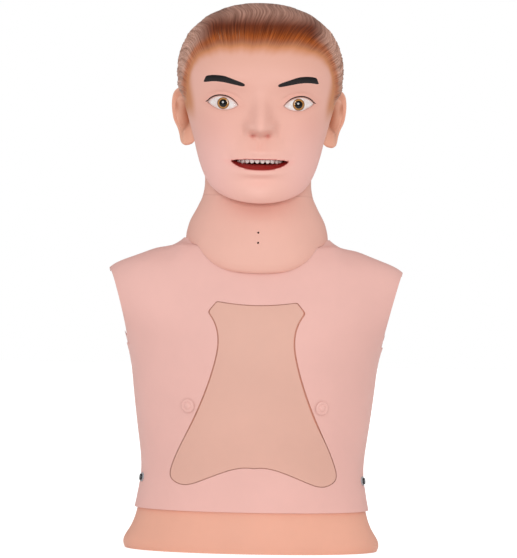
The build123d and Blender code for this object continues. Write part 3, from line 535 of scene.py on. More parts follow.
def face_rise(x, z, lid_rise):
    """How far the face stands out in front of the plain head form"""
    nose = smooth(NOSE, z - 0.028 * np.minimum(x**2, 260.0) * ease((470.0 - z) / 8.0))
    rise = nose[..., 0] * np.exp(-np.abs(x / nose[..., 1]) ** 2.3)
    for at_x, at_z, across, up, height in FACE_FORMS:
        rise = rise + height * bell(np.abs(x) - at_x, across) * bell(z - at_z, up)
    share, angle = outline_share(np.abs(x), z, EYE_CENTRE, eye_reach)
    over = ease(np.sin(angle) * 2.0)
    rise = rise + lid_rise * bell(share - 1.03, 0.17) * (0.55 + 0.45 * over)
    rise = rise - 1.1 * bell(share - 1.52, 0.13) * over
    return rise


def head_surface(turn, along, settings):
    """Points of the head in millimetres: turn is 0 at the face's middle, along runs up from the jaw"""
    level = smooth(HEAD_ROWS, along)
    height, half_width, front, back = (level[..., i] for i in range(4))
    wide, deep = np.sin(turn), -np.cos(turn)
    x = half_width * np.abs(wide) ** SQUARENESS * np.sign(wide)
    y = np.where(deep < 0, front, back) * np.abs(deep) ** SQUARENESS * np.sign(deep)
    tilt = np.tan(radians(JAW_TILT) * ease((LEVEL_HEIGHT - height) / (LEVEL_HEIGHT - HEAD_LEVELS[0][0])))
    z = height + y * tilt
    hair = hair_cover(x, y, z)
    comb = combed(x, y, z)
    side = ease((np.abs(x) - 58.0) / 22.0)
    locks = (0.45 * np.cos(30 * comb + 1.0) + 0.35 * np.cos(47 * comb + 2 * np.sin(9 * comb))
             + 0.2 * np.cos(71 * comb))
    curls = np.sin(0.72 * z + 1.6 * np.sin(0.21 * y + 1.0)) * np.sin(0.66 * y + 1.5 * np.sin(0.27 * z))
    strands = np.cos(150 * comb) * (0.6 + 0.4 * np.sin(y / 11.0 + 9 * comb))
    relief = (settings.lock_rise * (locks * (1 - 0.5 * side) + 1.25 * curls * side)
              + settings.strand_rise * strands * (1 - 0.6 * side))
    growth = hair * relief - (1 - hair) * HAIR_THICKNESS
    rise = face_rise(x, z, settings.lid_rise) * ease(-y / FACE_REACH)
    size = np.maximum(np.hypot(x, y), 1e-6)
    growth = np.maximum(growth, -size)
    x, y = x * (1 + growth / size), y * (1 + growth / size) - rise
    return np.stack([x, y, height + y * tilt], axis=-1)


def find_on_head(x, z, settings):
    """Turn and along of the places on the face that are seen at x and z from the front"""
    # A first guess, then steps down the slope of the surface
    turn = np.arcsin(np.clip(np.asarray(x) / 92.0, -0.95, 0.95))
    along = np.interp(np.asarray(z) + 30.0, [row[1] for row in HEAD_ROWS], [row[0] for row in HEAD_ROWS])
    step = 1e-3
    for _ in range(14):
        here = head_surface(turn, along, settings)
        aside = (head_surface(turn + step, along, settings) - here) / step
        above = (head_surface(turn, along + step, settings) - here) / step
        dx, dz = x - here[..., 0], z - here[..., 2]
        det = aside[..., 0] * above[..., 2] - above[..., 0] * aside[..., 2]
        det = np.where(np.abs(det) < 1e-6, 1e-6, det)
        turn_step = (dx * above[..., 2] - dz * above[..., 0]) / det
        along_step = (aside[..., 0] * dz - aside[..., 2] * dx) / det
        turn = turn + np.clip(turn_step, -0.15, 0.15)
        along = np.clip(along + np.clip(along_step, -12.0, 12.0), 0.0, HEAD_LENGTH)
    return turn, along


def on_face(x, z, settings):
    """Points of the face seen at x and z from the front"""
    return head_surface(*find_on_head(np.asarray(x, float), np.asarray(z, float), settings), settings)


def head_rows(settings, columns=300):
    """Rows of points of the head: neck stub, underside, jaw edge, face and hair up to the crown"""
    turn = np.linspace(0.0, 2 * pi, columns) + pi
    turn = turn - 0.58 * np.sin(turn)
    tilt = tan(radians(JAW_TILT))
    rows = []
    edge_at = 2.6
    side = head_surface(turn, np.full(columns, edge_at), settings)
    jaw = head_surface(turn, np.zeros(columns), settings)
    round_turn = np.arctan2(jaw[:, 0], -jaw[:, 1])
    ring = np.stack([np.sin(round_turn), -np.cos(round_turn)], axis=-1)
    rows.append(np.column_stack([ring * STUB_RADIUS, np.full(columns, STUB_BOTTOM)]))
    rows.append(np.column_stack([ring * STUB_RADIUS, np.full(columns, COLLAR_BOTTOM)]))
    stub = ring * COLLAR_RADIUS
    ceiling = np.maximum(HEAD_LEVELS[0][0] + stub[:, 1] * tilt, COLLAR_BOTTOM + 2.0)
    for share in np.linspace(0.0, 1.0, 14):
        rise = (ceiling - 1.0 - COLLAR_BOTTOM) * share
        collar = smooth(COLLAR, rise)[:, 0]
        rows.append(np.column_stack([ring * collar[:, None], COLLAR_BOTTOM + rise]))
    start = np.column_stack([rows[-1][:, :2], ceiling])
    inner = start + (jaw - start) * 0.90
    for share in np.linspace(0.04, 1.0, 16):
        flat = start + (inner - start) * share
        flat[:, 2] -= 1.0 * np.sin(pi * share)
        rows.append(flat)
    for share in np.linspace(0.0, 1.0, 9)[1:-1]:
        rows.append((1 - share) ** 2 * inner + 2 * share * (1 - share) * jaw + share**2 * side)
    heights = np.array([row[1] for row in HEAD_ROWS])
    places = np.array([row[0] for row in HEAD_ROWS])
    dense = np.linspace(edge_at, HEAD_LENGTH, 2000)
    height = np.interp(dense, places, heights)
    weight = np.where(height < 545.0, 1.5, 1.0)
    run = np.concatenate([[0.0], np.cumsum((weight[1:] + weight[:-1]) / 2)])
    for place in np.interp(np.linspace(0.0, run[-1], 236), run, dense):
        rows.append(head_surface(turn, np.full(columns, place), settings))
    crown = rows[-1].mean(axis=0)
    crown[2] = HEAD_LEVELS[-1][0] + 0.1
    for share in (0.7, 0.4, 0.0):
        rows.append(crown + (rows[-1] - crown) * share if share else np.repeat(crown[None], columns, axis=0))
    return np.array(rows)


# Steps of the rim round an opening: how far inwards, how far back, and whether only along the lower side
RIM = ((0.35, 0.25, False), (0.35, 0.7, False), (0.15, 3.0, False))
LIP_RIM = RIM[:2] + (
    (0.15, 1.6, False), (1.4, 1.6, True), (1.8, 2.4, True), (1.8, 3.0, True), (1.0, 5.0, True),
)
FAR_AWAY = 9.0


def cut_opening(piece, centre, reach, settings, sides=(1,), rim=RIM):
    """Cuts an opening through the face: its edge follows the outline, with a rounded rim that turns in"""
    mesh = piece.data
    points = points_of(mesh) / MM

    def shares(side):
        share, angle = outline_share(points[:, 0] * side, points[:, 2], centre, reach)
        near = (points[:, 1] < -FACE_REACH) & (np.abs(points[:, 2] - centre[1]) < 25.0)
        return np.where(near, share, FAR_AWAY), angle

    corners = np.array([list(face.vertices) for face in mesh.polygons if len(face.vertices) == 4])
    gone = np.zeros(len(points), bool)
    for side in sides:
        share, angle = shares(side)
        inside = share < 1.0
        kept = corners[(~inside[corners]).any(axis=1)]
        snapped = np.unique(kept[inside[kept]])
        distance = reach(angle[snapped])
        points[snapped] = on_face((centre[0] + distance * np.cos(angle[snapped])) * side,
                                  centre[1] + distance * np.sin(angle[snapped]), settings)
        inside[snapped] = False
        gone |= inside
    place_points(mesh, points * MM)
    make_active(piece)
    for item in list(mesh.polygons) + list(mesh.edges):
        item.select = False
    mesh.vertices.foreach_set("select", gone)
    bpy.ops.object.mode_set(mode="EDIT")
    bpy.ops.mesh.delete(type="VERT")
    bpy.ops.object.mode_set(mode="OBJECT")

    # Cells that only the outline itself bounds are gone too
    points = points_of(mesh) / MM
    for side in sides:
        on_edge = shares(side)[0] < 1.003
        for face in mesh.polygons:
            face.select = all(on_edge[v] for v in face.vertices)
        for edge in mesh.edges:
            edge.select = False
        bpy.ops.object.mode_set(mode="EDIT")
        bpy.ops.mesh.select_mode(type="FACE")
        bpy.ops.mesh.delete(type="ONLY_FACE")
        bpy.ops.mesh.select_mode(type="VERT")
        bpy.ops.object.mode_set(mode="OBJECT")

    # The edge loop is drawn in and back in steps
    for inwards, back, lower_side in rim:
        points = points_of(mesh) / MM
        uses = {}
        for face in mesh.polygons:
            for key in face.edge_keys:
                uses[key] = uses.get(key, 0) + 1
        for item in list(mesh.vertices) + list(mesh.polygons):
            item.select = False
        for edge in mesh.edges:
            a, b = edge.vertices
            middle = (points[a] + points[b]) / 2
            share = min(float(outline_share(middle[0] * side, middle[2], centre, reach)[0]) for side in sides)
            edge.select = uses.get(tuple(sorted((a, b))), 0) == 1 and share < 1.25 and middle[1] < -40.0
            if edge.select:
                mesh.vertices[a].select = mesh.vertices[b].select = True
        bpy.ops.object.mode_set(mode="EDIT")
        bpy.ops.mesh.select_mode(type="EDGE")
        bpy.ops.mesh.extrude_edges_move()
        bpy.ops.mesh.select_mode(type="VERT")
        bpy.ops.object.mode_set(mode="OBJECT")
        points = points_of(mesh) / MM
        moved = np.array([vertex.select for vertex in mesh.vertices])
        for side in sides:
            mine = moved & (points[:, 0] * side > 0) if len(sides) > 1 else moved
            away = np.array([centre[0] * side, 0.0, centre[1]]) - points[mine]
            away[:, 1] = 0.0
            away /= np.maximum(np.linalg.norm(away, axis=1), 1e-6)[:, None]
            if lower_side:
                corner = np.abs(points[mine, 0] / MOUTH_CORNER[0]) ** 3
                away = np.column_stack([-np.sign(points[mine, 0]) * corner, 0 * corner, 1 - 0.8 * corner])
                away *= ease((centre[1] + 5.0 - points[mine, 2]) / 5.0)[:, None]
            points[mine] += away * inwards
            points[mine, 1] += back
        place_points(mesh, points * MM)


EAR_OUTLINE = [
    (-3.0, -20.0), (3.0, -30.5), (11.0, -30.0), (18.0, -20.0), (28.0, -4.0), (34.0, 14.0), (31.0, 27.0),
    (20.0, 33.0), (7.0, 30.0), (-3.0, 19.0), (-5.0, 0.0),
]
EAR_ORIGIN = np.array([77.0, 2.0, 474.0])
EAR_FLARE = radians(27.0)
EAR_MIDDLE = (13.0, 2.0)
EAR_ALONG = np.array([sin(EAR_FLARE), cos(EAR_FLARE), 0.0])
EAR_OUT = np.array([cos(EAR_FLARE), -sin(EAR_FLARE), 0.0])
EAR_ROWS = 44
EAR_BACK_ROWS = 12
EAR_COLOUR = (0.80, 0.42, 0.30)
# Painted shade in the ear hollows
EAR_PAINTED_SHADE_COLOUR = (0.36, 0.075, 0.018)


def ear_points(columns=96):
    """One ear as a cup: concha, inner ridge, groove, rolled rim, and the back down to its root"""
    loop = np.array(EAR_OUTLINE + EAR_OUTLINE[:1])
    run = np.concatenate([[0.0], np.cumsum(np.hypot(*np.diff(loop, axis=0).T))])
    padded = [(place - run[-1], *p) for place, p in zip(run[:-1], loop[:-1])]
    padded += [(place, *p) for place, p in zip(run, loop)]
    padded += [(place + run[-1], *p) for place, p in zip(run[1:], loop[1:])]
    outline = smooth(padded, np.linspace(0.0, run[-1], columns))
    middle = np.array(EAR_MIDDLE)
    points = []
    shares = np.concatenate([np.linspace(0.0, 1.0, EAR_ROWS), np.linspace(0.985, 0.70, EAR_BACK_ROWS)])
    for i, share in enumerate(shares):
        flat = middle + (outline - middle) * share
        u, v = flat[:, 0], flat[:, 1]
        top = ease((v + 14.0) / 14.0)
        rear = ease((u - 1.0) / 8.0)
        if i < EAR_ROWS:
            rim = 3.3 * bell(share - 0.93, 0.085) * (0.25 + 0.75 * top)
            groove = -1.6 * bell(share - 0.78, 0.07) * top * rear
            ridge = 2.2 * bell(share - 0.62, 0.10) * rear * ease((v + 18.0) / 12.0)
            concha = -6.5 * bell(np.hypot(u - 8.5, (v + 1.0) * 0.72), 8.5)
            hollow = -2.0 * bell(np.hypot((u - 12.0) * 0.9, v - 17.0), 6.0)
            tragus = 3.2 * bell(u + 1.0, 3.6) * bell(v + 2.0, 5.5)
            notch = 1.6 * bell(u - 7.0, 5.0) * bell(v + 15.0, 4.0)
            lobe = 1.2 * bell(np.hypot(u - 8.0, v + 23.0), 7.0)
            out = 2.2 + rim + groove + ridge + concha + hollow + tragus + notch + lobe
            out = out - 2.0 * ease((share - 0.965) / 0.035)
        else:
            out = np.full(columns, -1.0 - 9.0 * ease((i - EAR_ROWS) / (EAR_BACK_ROWS - 1.0)))
        points.append(np.column_stack([u, v, out]))
    return np.array(points)


def make_ear(side):
    """One ear at its place on the head, its root drawn in under the side of the head"""
    local = ear_points()
    points = EAR_ORIGIN + local[..., :1] * EAR_ALONG + local[..., 1:2] * UP + local[..., 2:] * EAR_OUT
    heights = [level[0] for level in HEAD_LEVELS]
    wall = np.interp(points[..., 2], heights, [level[1] - HAIR_THICKNESS - 2.0 for level in HEAD_LEVELS])
    pull = ease((7.0 - local[..., 0]) / 11.0)
    steps = np.arange(len(points)) - (EAR_ROWS - 1.0)
    pull = np.maximum(pull, ease(steps / 10.0)[:, None])
    points[..., 0] += np.minimum(wall - points[..., 0], 0.0) * pull
    points[..., 0] *= side
    ear = wrap("ear", points)
    close_seams(ear)
    front = max(ear.data.polygons, key=lambda face: face.center.x * side)
    if front.normal.x * side < 0:
        turn_over(ear)
    return ear


def ear_shade_share(piece):
    """How much painted shade each point of an ear gets: most deep in its hollows, and a spot in the groove
    inside its upper rim
    """
    points = points_of(piece.data) / MM
    points[:, 0] = np.abs(points[:, 0])
    local = points - EAR_ORIGIN
    u, v, out = local @ EAR_ALONG, local[:, 2], local @ EAR_OUT
    hollow_shade = bell(np.hypot(u - 9.0, (v - 3.0) * 0.5), 9.5) * ease((4.5 - out) / 3.0)
    return hollow_shade + 0.6 * bell(np.hypot(u - 25.0, (v - 14.0) * 0.4), 3.4)


def paint_head(piece, colours):
    """Stores the head's paint: skin, blush, orange spray, hair, ears and nostrils, with painted shade in
    hollows and painted sheen and highlights on the hair
    """
    mesh = piece.data
    points = points_of(mesh) / MM
    x, y, z = points.T
    wide = np.abs(x)
    skin = np.array(colours.head)
    paint = np.repeat(skin[None], len(points), axis=0)

    def blend(colour, share):
        nonlocal paint
        paint = paint + (np.array(colour) - paint) * np.clip(share, 0, 1)[:, None]

    front = ease(-y / 40.0)
    turn = np.degrees(np.arctan2(wide, -y))
    blend((0.80, 0.385, 0.315), 0.45 * bell(wide - 50, 22) * bell(z - 462, 22) * front)
    blend((0.88, 0.50, 0.43), 0.8 * bell(x, 34) * ease((452 - z) / 30) * front)
    blend((0.86, 0.47, 0.39), 0.6 * bell(x, 13) * bell(z - 463, 14) * front)
    # Painted shade: dark red in the nostril dents, standing in for the shaded nostril openings
    blend((0.55, 0.17, 0.14), 0.85 * bell(wide - 8.0, 3.2) * bell(z - 451.6, 1.7) * front)
    blend((0.90, 0.52, 0.48), 0.7 * ease((486 - z) / 70) * ease((wide - 12) / 40) * front)
    lips = outline_share(wide, z, MOUTH_CENTRE, mouth_reach)[0]
    blend((0.85, 0.38, 0.34), 0.35 * bell(lips - 1.10, 0.16) * front)
    # Red of the mouth's lining inside the lips, with painted shade making it darker deeper into the opening
    blend((0.42, 0.05, 0.04), 0.9 * ease((1.035 - lips) / 0.04) * front)
    blend((0.36, 0.012, 0.011), ease((0.985 - lips) / 0.03) * front)
    lid = outline_share(wide, z, EYE_CENTRE, eye_reach)[0]
    # Painted shade: a darker ring round the eye sockets and a dark line where the lids meet the eyes
    blend((0.72, 0.35, 0.28), 0.30 * bell(lid - 1.2, 0.3) * front)
    blend((0.40, 0.19, 0.16), 0.5 * bell(lid - 1.0, 0.045) * front)
    edge = hair_edge(x, y, z)
    blend((0.70, 0.36, 0.27), 0.6 * ease((z - 512.0) / 30.0) * front)
    spray = ease((z - edge + 15.0) / 16.0) ** 1.4
    temple = (ease((turn - 50.0) / 12.0) * ease((552.0 - z) / 14.0) * ease((z - 464.0) / 26.0)
              * ease((94.0 - turn) / 9.0))
    blend(colours.airbrush, 0.95 * spray)
    blend(colours.airbrush, 0.9 * temple)
    hair = ease((z - edge + 4.0) / 15.0)
    # Brown thins out at the sides, towards the crown and at the back: the lighter crown is a painted sheen,
    # the lighter sides thin paint and painted sheen
    brown = (ease((80.0 - wide) / 28.0) * (1.0 - 0.55 * ease((z - 570.0) / 18.0))
             * (1.0 - 0.35 * ease(y / 60.0)))
    blend(colours.hair_thin_paint_and_sheen, hair)
    blend(colours.hair, hair * brown)
    blend((0.36, 0.078, 0.010), hair * 0.85 * bell(z - edge - 5.0, 9.0) * front)
    # Painted highlight: light streaks in the hair on the model's right of the front, just above the hairline
    painted_highlight = hair * bell(x + 38.0, 15.0) * bell(z - edge - 9.0, 8.0) * front
    jaw_height = HEAD_LEVELS[0][0] + y * tan(radians(JAW_TILT))
    collar = (np.hypot(x, y) < 60.8) & (z < jaw_height - 0.5) & (z < 440.0)
    paint[collar] = np.array(colours.neck)
    is_ear = stored(mesh, "is_ear") > 0.5
    paint[is_ear] = EAR_COLOUR
    # Painted shade: darker in the ears' hollows and in the groove inside the rim
    shade = np.clip(stored(mesh, "ear_painted_shade"), 0, 1)[:, None]
    paint = np.where(is_ear[:, None], paint + (np.array(EAR_PAINTED_SHADE_COLOUR) - paint) * shade, paint)
    colour = mesh.color_attributes.new("paint", "FLOAT_COLOR", "POINT")
    colour.data.foreach_set("color", np.column_stack([paint, np.ones(len(points))]).ravel())
    store(mesh, "hair", np.where(is_ear, 0.0, hair))
    comb = mesh.attributes.new("comb", "FLOAT_VECTOR", "POINT")
    comb.data.foreach_set("vector", np.column_stack([combed(x, y, z), y * 0.004, z * 0.004]).ravel())
    store(mesh, "painted_highlight", painted_highlight)


def head_material():
    """Painted vinyl: skin with a soft sheen, and combed strands under thin brown paint with painted highlight
    streaks
    """
    finish = Finish("head_vinyl", 0.46)
    paint = finish.attribute("paint", "Color")
    hair = finish.attribute("hair")
    comb = finish.attribute("comb", "Vector")
    slow = finish.noise(16.0, 3.0, 0.5)
    skin = finish.mix(finish.grey(slow, 0.3, 0.7), finish.mix(0.07, paint, (0.62, 0.28, 0.20)), paint)
    strands = finish.noise(1.0, 3.0, 0.65, finish.stretch((85.0, 5.0, 5.0), comb))
    fine = finish.noise(1.0, 2.0, 0.6, finish.stretch((260.0, 7.0, 7.0), comb))
    painted_glint_patches = finish.noise(1.0, 2.0, 0.5, finish.stretch((14.0, 6.0, 6.0), comb))
    dark = finish.mix(finish.grey(strands, 0.30, 0.68), (0.52, 0.42, 0.36), (1.50, 1.62, 1.75))
    streaked = finish.mix(1.0, paint, dark, "MULTIPLY")
    # Painted highlights: light streaks along the strands in random patches, strongest where the head stores
    # its painted highlight
    painted_shine = finish.sum(finish.product(finish.grey(painted_glint_patches, 0.5, 0.8), 0.35), finish.attribute("painted_highlight"))
    painted_glints = finish.product(finish.grey(fine, 0.56, 0.72), painted_shine)
    light = finish.mix(painted_glints, streaked, (0.50, 0.29, 0.18))
    finish.colour(finish.mix(hair, skin, light))
    finish.roughness(finish.mix(hair, (0.55, 0.55, 0.55), (0.48, 0.48, 0.48)))
    grain = finish.product(finish.noise(850.0, 2.0, 0.6), 0.25)
    relief = finish.product(finish.sum(strands, finish.product(fine, 0.6)), hair)
    finish.bump(finish.sum(grain, finish.product(relief, 1.5)), 0.45, 0.0005)
    specular = finish.sum(finish.product(hair, -0.18), 0.28)
    finish.links.new(specular, finish.shader.inputs["Specular IOR Level"])
    finish.links.new(finish.product(hair, 0.03), finish.shader.inputs["Sheen Weight"])
    finish.shader.inputs["Sheen Roughness"].default_value = 0.35
    return finish.material


def gloss_paint(name, colour, roughness=0.22):
    """Thin hard paint with fine specks"""
    finish = Finish(name, roughness)
    speck = finish.noise(320.0, 3.0, 0.6)
    base = np.array(colour)
    finish.colour(finish.ramp(speck, [(0.35, tuple(base * 0.7)), (0.7, tuple(base * 1.5))]))
    finish.bump(speck, 0.1, 0.0003)
    finish.shader.inputs["Specular IOR Level"].default_value = 0.25
    finish.shader.inputs["Coat Weight"].default_value = 0.12
    finish.shader.inputs["Coat Roughness"].default_value = 0.2
    return finish.material


def painted_strip(name, lower, upper, settings, rise=0.32, columns=70, rows=12):
    """A thin layer of paint on the face between two lines seen from the front, domed to thin edges"""
    share = np.linspace(0.0, 1.0, columns)
    low = smooth([(i / (len(lower) - 1), *p) for i, p in enumerate(lower)], share)
    high = smooth([(i / (len(upper) - 1), *p) for i, p in enumerate(upper)], share)
    across = np.linspace(0.0, 1.0, rows)
    flat = low[None] + (high - low)[None] * across[:, None, None]
    points = on_face(flat[..., 0], flat[..., 1], settings)
    dome = np.minimum(1.0, 6.0 * np.minimum(across, 1 - across))[:, None] * np.minimum(
        1.0, 14.0 * np.minimum(share, 1 - share))[None]
    points[..., 1] -= rise * dome - 0.12
    return wrap(name, points)


SENSOR_HEIGHT = 24.0


class CAREMODEL_OT_stage(bpy.types.Operator):
    """Add the floor, the lights and the camera"""
    bl_idname = "caremodel.stage"
    bl_label = "Stage"

    def add_floor(self, context):
        """A white floor that glows a little for the camera, so that it shows no edge"""
        bpy.ops.mesh.primitive_plane_add(size=14.0, location=(0, 0, 0))
        floor = context.active_object
        floor.name = "floor"
        finish = Finish("floor_white", 0.9)
        finish.colour(finish.ramp(finish.noise(3.0), [(0.0, (0.82, 0.82, 0.82)), (1.0, (0.86, 0.86, 0.86))]))
        finish.shader.inputs["Specular IOR Level"].default_value = 0.0
        path = finish.nodes.new("ShaderNodeLightPath")
        glow = finish.nodes.new("ShaderNodeEmission")
        seen = finish.math("ADD", path.outputs["Is Camera Ray"], path.outputs["Is Glossy Ray"], True)
        finish.links.new(finish.product(seen, 0.55), glow.inputs["Strength"])
        both = finish.nodes.new("ShaderNodeAddShader")
        finish.links.new(finish.shader.outputs[0], both.inputs[0])
        finish.links.new(glow.outputs[0], both.inputs[1])
        finish.links.new(both.outputs[0], finish.nodes["Material Output"].inputs["Surface"])
        floor.data.materials.append(finish.material)

    def add_lights(self, context, stage):
        # Name, strength, angular size in degrees, direction towards the light, colour
        for name, strength, angle, direction, colour in (
            ("key", stage.key, 12.0, (-0.02, -1.0, 0.13), (1.0, 1.0, 1.0)),
            ("fill", stage.fill, 60.0, (-0.9, -1.0, 0.7), (0.86, 0.95, 1.0)),
            ("warm_fill", 0.30, 60.0, (0.9, -1.0, 0.2), (1.0, 0.92, 0.80)),
            ("bounce", 0.22, 50.0, (-0.1, -1.0, -0.6), (1.0, 0.98, 0.97)),
            ("top", 0.20, 60.0, (0.25, 0.45, 1.0), (1.0, 1.0, 1.0)),
        ):
            bpy.ops.object.light_add(type="SUN", location=Vector(direction) * 2.0)
            lamp = context.active_object
            lamp.name = name
            lamp.data.energy = strength
            lamp.data.color = colour
            lamp.data.angle = radians(angle)
            lamp.rotation_euler = Vector(direction).to_track_quat("Z", "Y").to_euler()

    def add_sky(self, context, stage):
        """White to the camera and through glass, dimmer as light, and dimmer again in reflections"""
        world = bpy.data.worlds.new("studio")
        context.scene.world = world
        world.use_nodes = True
        nodes, links = world.node_tree.nodes, world.node_tree.links
        back = nodes["Background"]
        back.inputs["Color"].default_value = (1.0, 1.0, 1.0, 1.0)
        path = nodes.new("ShaderNodeLightPath")
        shown = nodes.new("ShaderNodeMath")
        shown.operation = "MAXIMUM"
        links.new(path.outputs["Is Camera Ray"], shown.inputs[0])
        links.new(path.outputs["Is Transmission Ray"], shown.inputs[1])
        strength = nodes.new("ShaderNodeMapRange")
        strength.inputs["To Min"].default_value = stage.sky
        strength.inputs["To Max"].default_value = 1.0
        links.new(shown.outputs[0], strength.inputs["Value"])
        mirrored = nodes.new("ShaderNodeMath")
        mirrored.operation = "MULTIPLY_ADD"
        mirrored.inputs[1].default_value = -0.65
        mirrored.inputs[2].default_value = 1.0
        links.new(path.outputs["Is Glossy Ray"], mirrored.inputs[0])
        product = nodes.new("ShaderNodeMath")
        product.operation = "MULTIPLY"
        links.new(strength.outputs[0], product.inputs[0])
        links.new(mirrored.outputs[0], product.inputs[1])
        links.new(product.outputs[0], back.inputs["Strength"])

    def add_camera(self, context, stage):
        aim = Vector((stage.side, 0.0, stage.middle))
        away = Vector((-sin(stage.turn), -cos(stage.turn), 0.0)) * stage.distance
        place = Vector((aim.x + away.x, away.y, stage.height))
        bpy.ops.object.camera_add(location=place)
        camera = context.active_object
        camera.name = "camera"
        look = (aim - place).to_track_quat("-Z", "Y").to_matrix()
        roll = Euler((0.0, 0.0, stage.roll)).to_matrix()
        camera.rotation_euler = (look @ roll).to_euler()
        camera.data.sensor_fit = "VERTICAL"
        camera.data.sensor_height = SENSOR_HEIGHT
        camera.data.lens = SENSOR_HEIGHT * (aim - place).length / stage.view_height
        context.scene.camera = camera

    def execute(self, context):
        stage = context.scene.care_stage
        self.add_floor(context)
        self.add_lights(context, stage)
        self.add_sky(context, stage)
        self.add_camera(context, stage)
        context.scene.view_settings.view_transform = "Standard"
        return {"FINISHED"}


class CAREMODEL_OT_head(bpy.types.Operator):
    """Form the head moulding with face, hair and ears, and paint it"""
    bl_idname = "caremodel.head"
    bl_label = "Head"

    def execute(self, context):
        settings, colours = context.scene.care_head, context.scene.care_colours
        head = wrap("head", head_rows(settings))
        close_seams(head)
        cut_opening(head, EYE_CENTRE, eye_reach, settings, sides=(1, -1))
        cut_opening(head, MOUTH_CENTRE, mouth_reach, settings, rim=LIP_RIM)
        ears = [make_ear(side) for side in (1, -1)]
        for piece, is_ear in ((head, 0.0), (ears[0], 1.0), (ears[1], 1.0)):
            count = len(piece.data.vertices)
            store(piece.data, "is_ear", np.full(count, is_ear))
            store(piece.data, "ear_painted_shade", ear_shade_share(piece) if is_ear else np.zeros(count))
        head = join([head] + ears, "head_moulding")
        paint_head(head, colours)
        smooth_faces(head, 60.0)
        dress(head, head_material(), "head", ["head_skin"])
        return {"FINISHED"}


class CAREMODEL_OT_brows(bpy.types.Operator):
    """Paint the brows and the lash lines"""
    bl_idname = "caremodel.brows"
    bl_label = "Brows and lash lines"

    def execute(self, context):
        settings = context.scene.care_head
        black = gloss_paint("brow_paint", (0.005, 0.0025, 0.003), 0.6)
        lower = [(17.6, 505.4), (21.0, 504.5), (31.5, 506.6), (41.5, 508.6), (52.0, 509.6), (64.6, 508.6)]
        upper = [(17.4, 506.6), (21.5, 509.2), (30.5, 512.6), (40.5, 516.2), (51.5, 517.4), (60.8, 516.6)]
        lash_low = arched(EYE_INNER, EYE_TOP, EYE_OUTER, 13, 2.2, 0.9)
        lash_low[0] = (EYE_INNER[0] - 0.6, EYE_INNER[1] - 0.2)
        lash_low[-1] = (EYE_OUTER[0] + 3.0, EYE_OUTER[1] - 0.6)
        thick = [0.3, 0.7, 1.0, 1.2, 1.4, 1.5, 1.6, 1.6, 1.7, 1.8, 1.8, 1.6, 0.5]
        lash_high = [(x, z + t) for (x, z), t in zip(lash_low, thick)]
        for name, low, high, rise in (("brow", lower, upper, 0.34), ("lash_line", lash_low, lash_high, 0.28)):
            for side, word in ((1, "left"), (-1, "right")):
                strip = painted_strip(
                    f"{word}_{name}",
                    [(x * side, z) for x, z in low], [(x * side, z) for x, z in high], settings, rise)
                close_seams(strip)
                middle = strip.data.polygons[len(strip.data.polygons) // 2]
                if middle.normal.y > 0:
                    turn_over(strip)
                smooth_faces(strip)
                dress(strip, black, "head")
        return {"FINISHED"}


def eye_material(name, side, settings):
    """Glassy eye: white with faint veins, a dark-ringed amber iris and a black pupil"""
    finish = Finish(name, 0.08)
    split = finish.nodes.new("ShaderNodeSeparateXYZ")
    finish.links.new(finish.place, split.inputs[0])
    across = finish.math("SUBTRACT", split.outputs["X"], side * (EYE_CENTRE[0] + IRIS_OFFSET[0]) * MM)
    up = finish.math("SUBTRACT", split.outputs["Z"], (EYE_CENTRE[1] + IRIS_OFFSET[1]) * MM)
    flat = finish.math("SQRT", finish.sum(finish.product(across, across), finish.product(up, up)))
    share = finish.math("DIVIDE", flat, settings.iris)
    spokes = finish.math("ARCTAN2", across, up)
    spoke_place = finish.nodes.new("ShaderNodeCombineXYZ")
    finish.links.new(spokes, spoke_place.inputs[0])
    finish.links.new(finish.product(share, 0.35), spoke_place.inputs[1])
    fibres = finish.noise(9.0, 3.0, 0.7, spoke_place.outputs[0])
    amber = finish.mix(finish.grey(fibres, 0.35, 0.65), (0.30, 0.115, 0.022), (0.62, 0.30, 0.075))
    pupil = settings.pupil / settings.iris
    iris = finish.mix(finish.grey(share, 0.80, 0.98), amber, (0.16, 0.065, 0.03))
    iris = finish.mix(finish.grey(share, pupil - 0.03, pupil + 0.03), (0.003, 0.0025, 0.0025), iris)
    veins = finish.noise(260.0, 5.0, 0.7)
    white = finish.ramp(veins, [(0.35, (0.74, 0.60, 0.58)), (0.6, (0.85, 0.80, 0.78))])
    edge = finish.nodes.new("ShaderNodeMapRange")
    edge.inputs["From Min"].default_value = 0.97
    edge.inputs["From Max"].default_value = 1.05
    finish.links.new(share, edge.inputs["Value"])
    finish.colour(finish.mix(edge.outputs[0], iris, white))
    finish.shader.inputs["Specular IOR Level"].default_value = 0.0
    finish.shader.inputs["Coat Weight"].default_value = 0.7
    finish.shader.inputs["Coat IOR"].default_value = 1.45
    finish.shader.inputs["Coat Roughness"].default_value = 0.02
    return finish.material


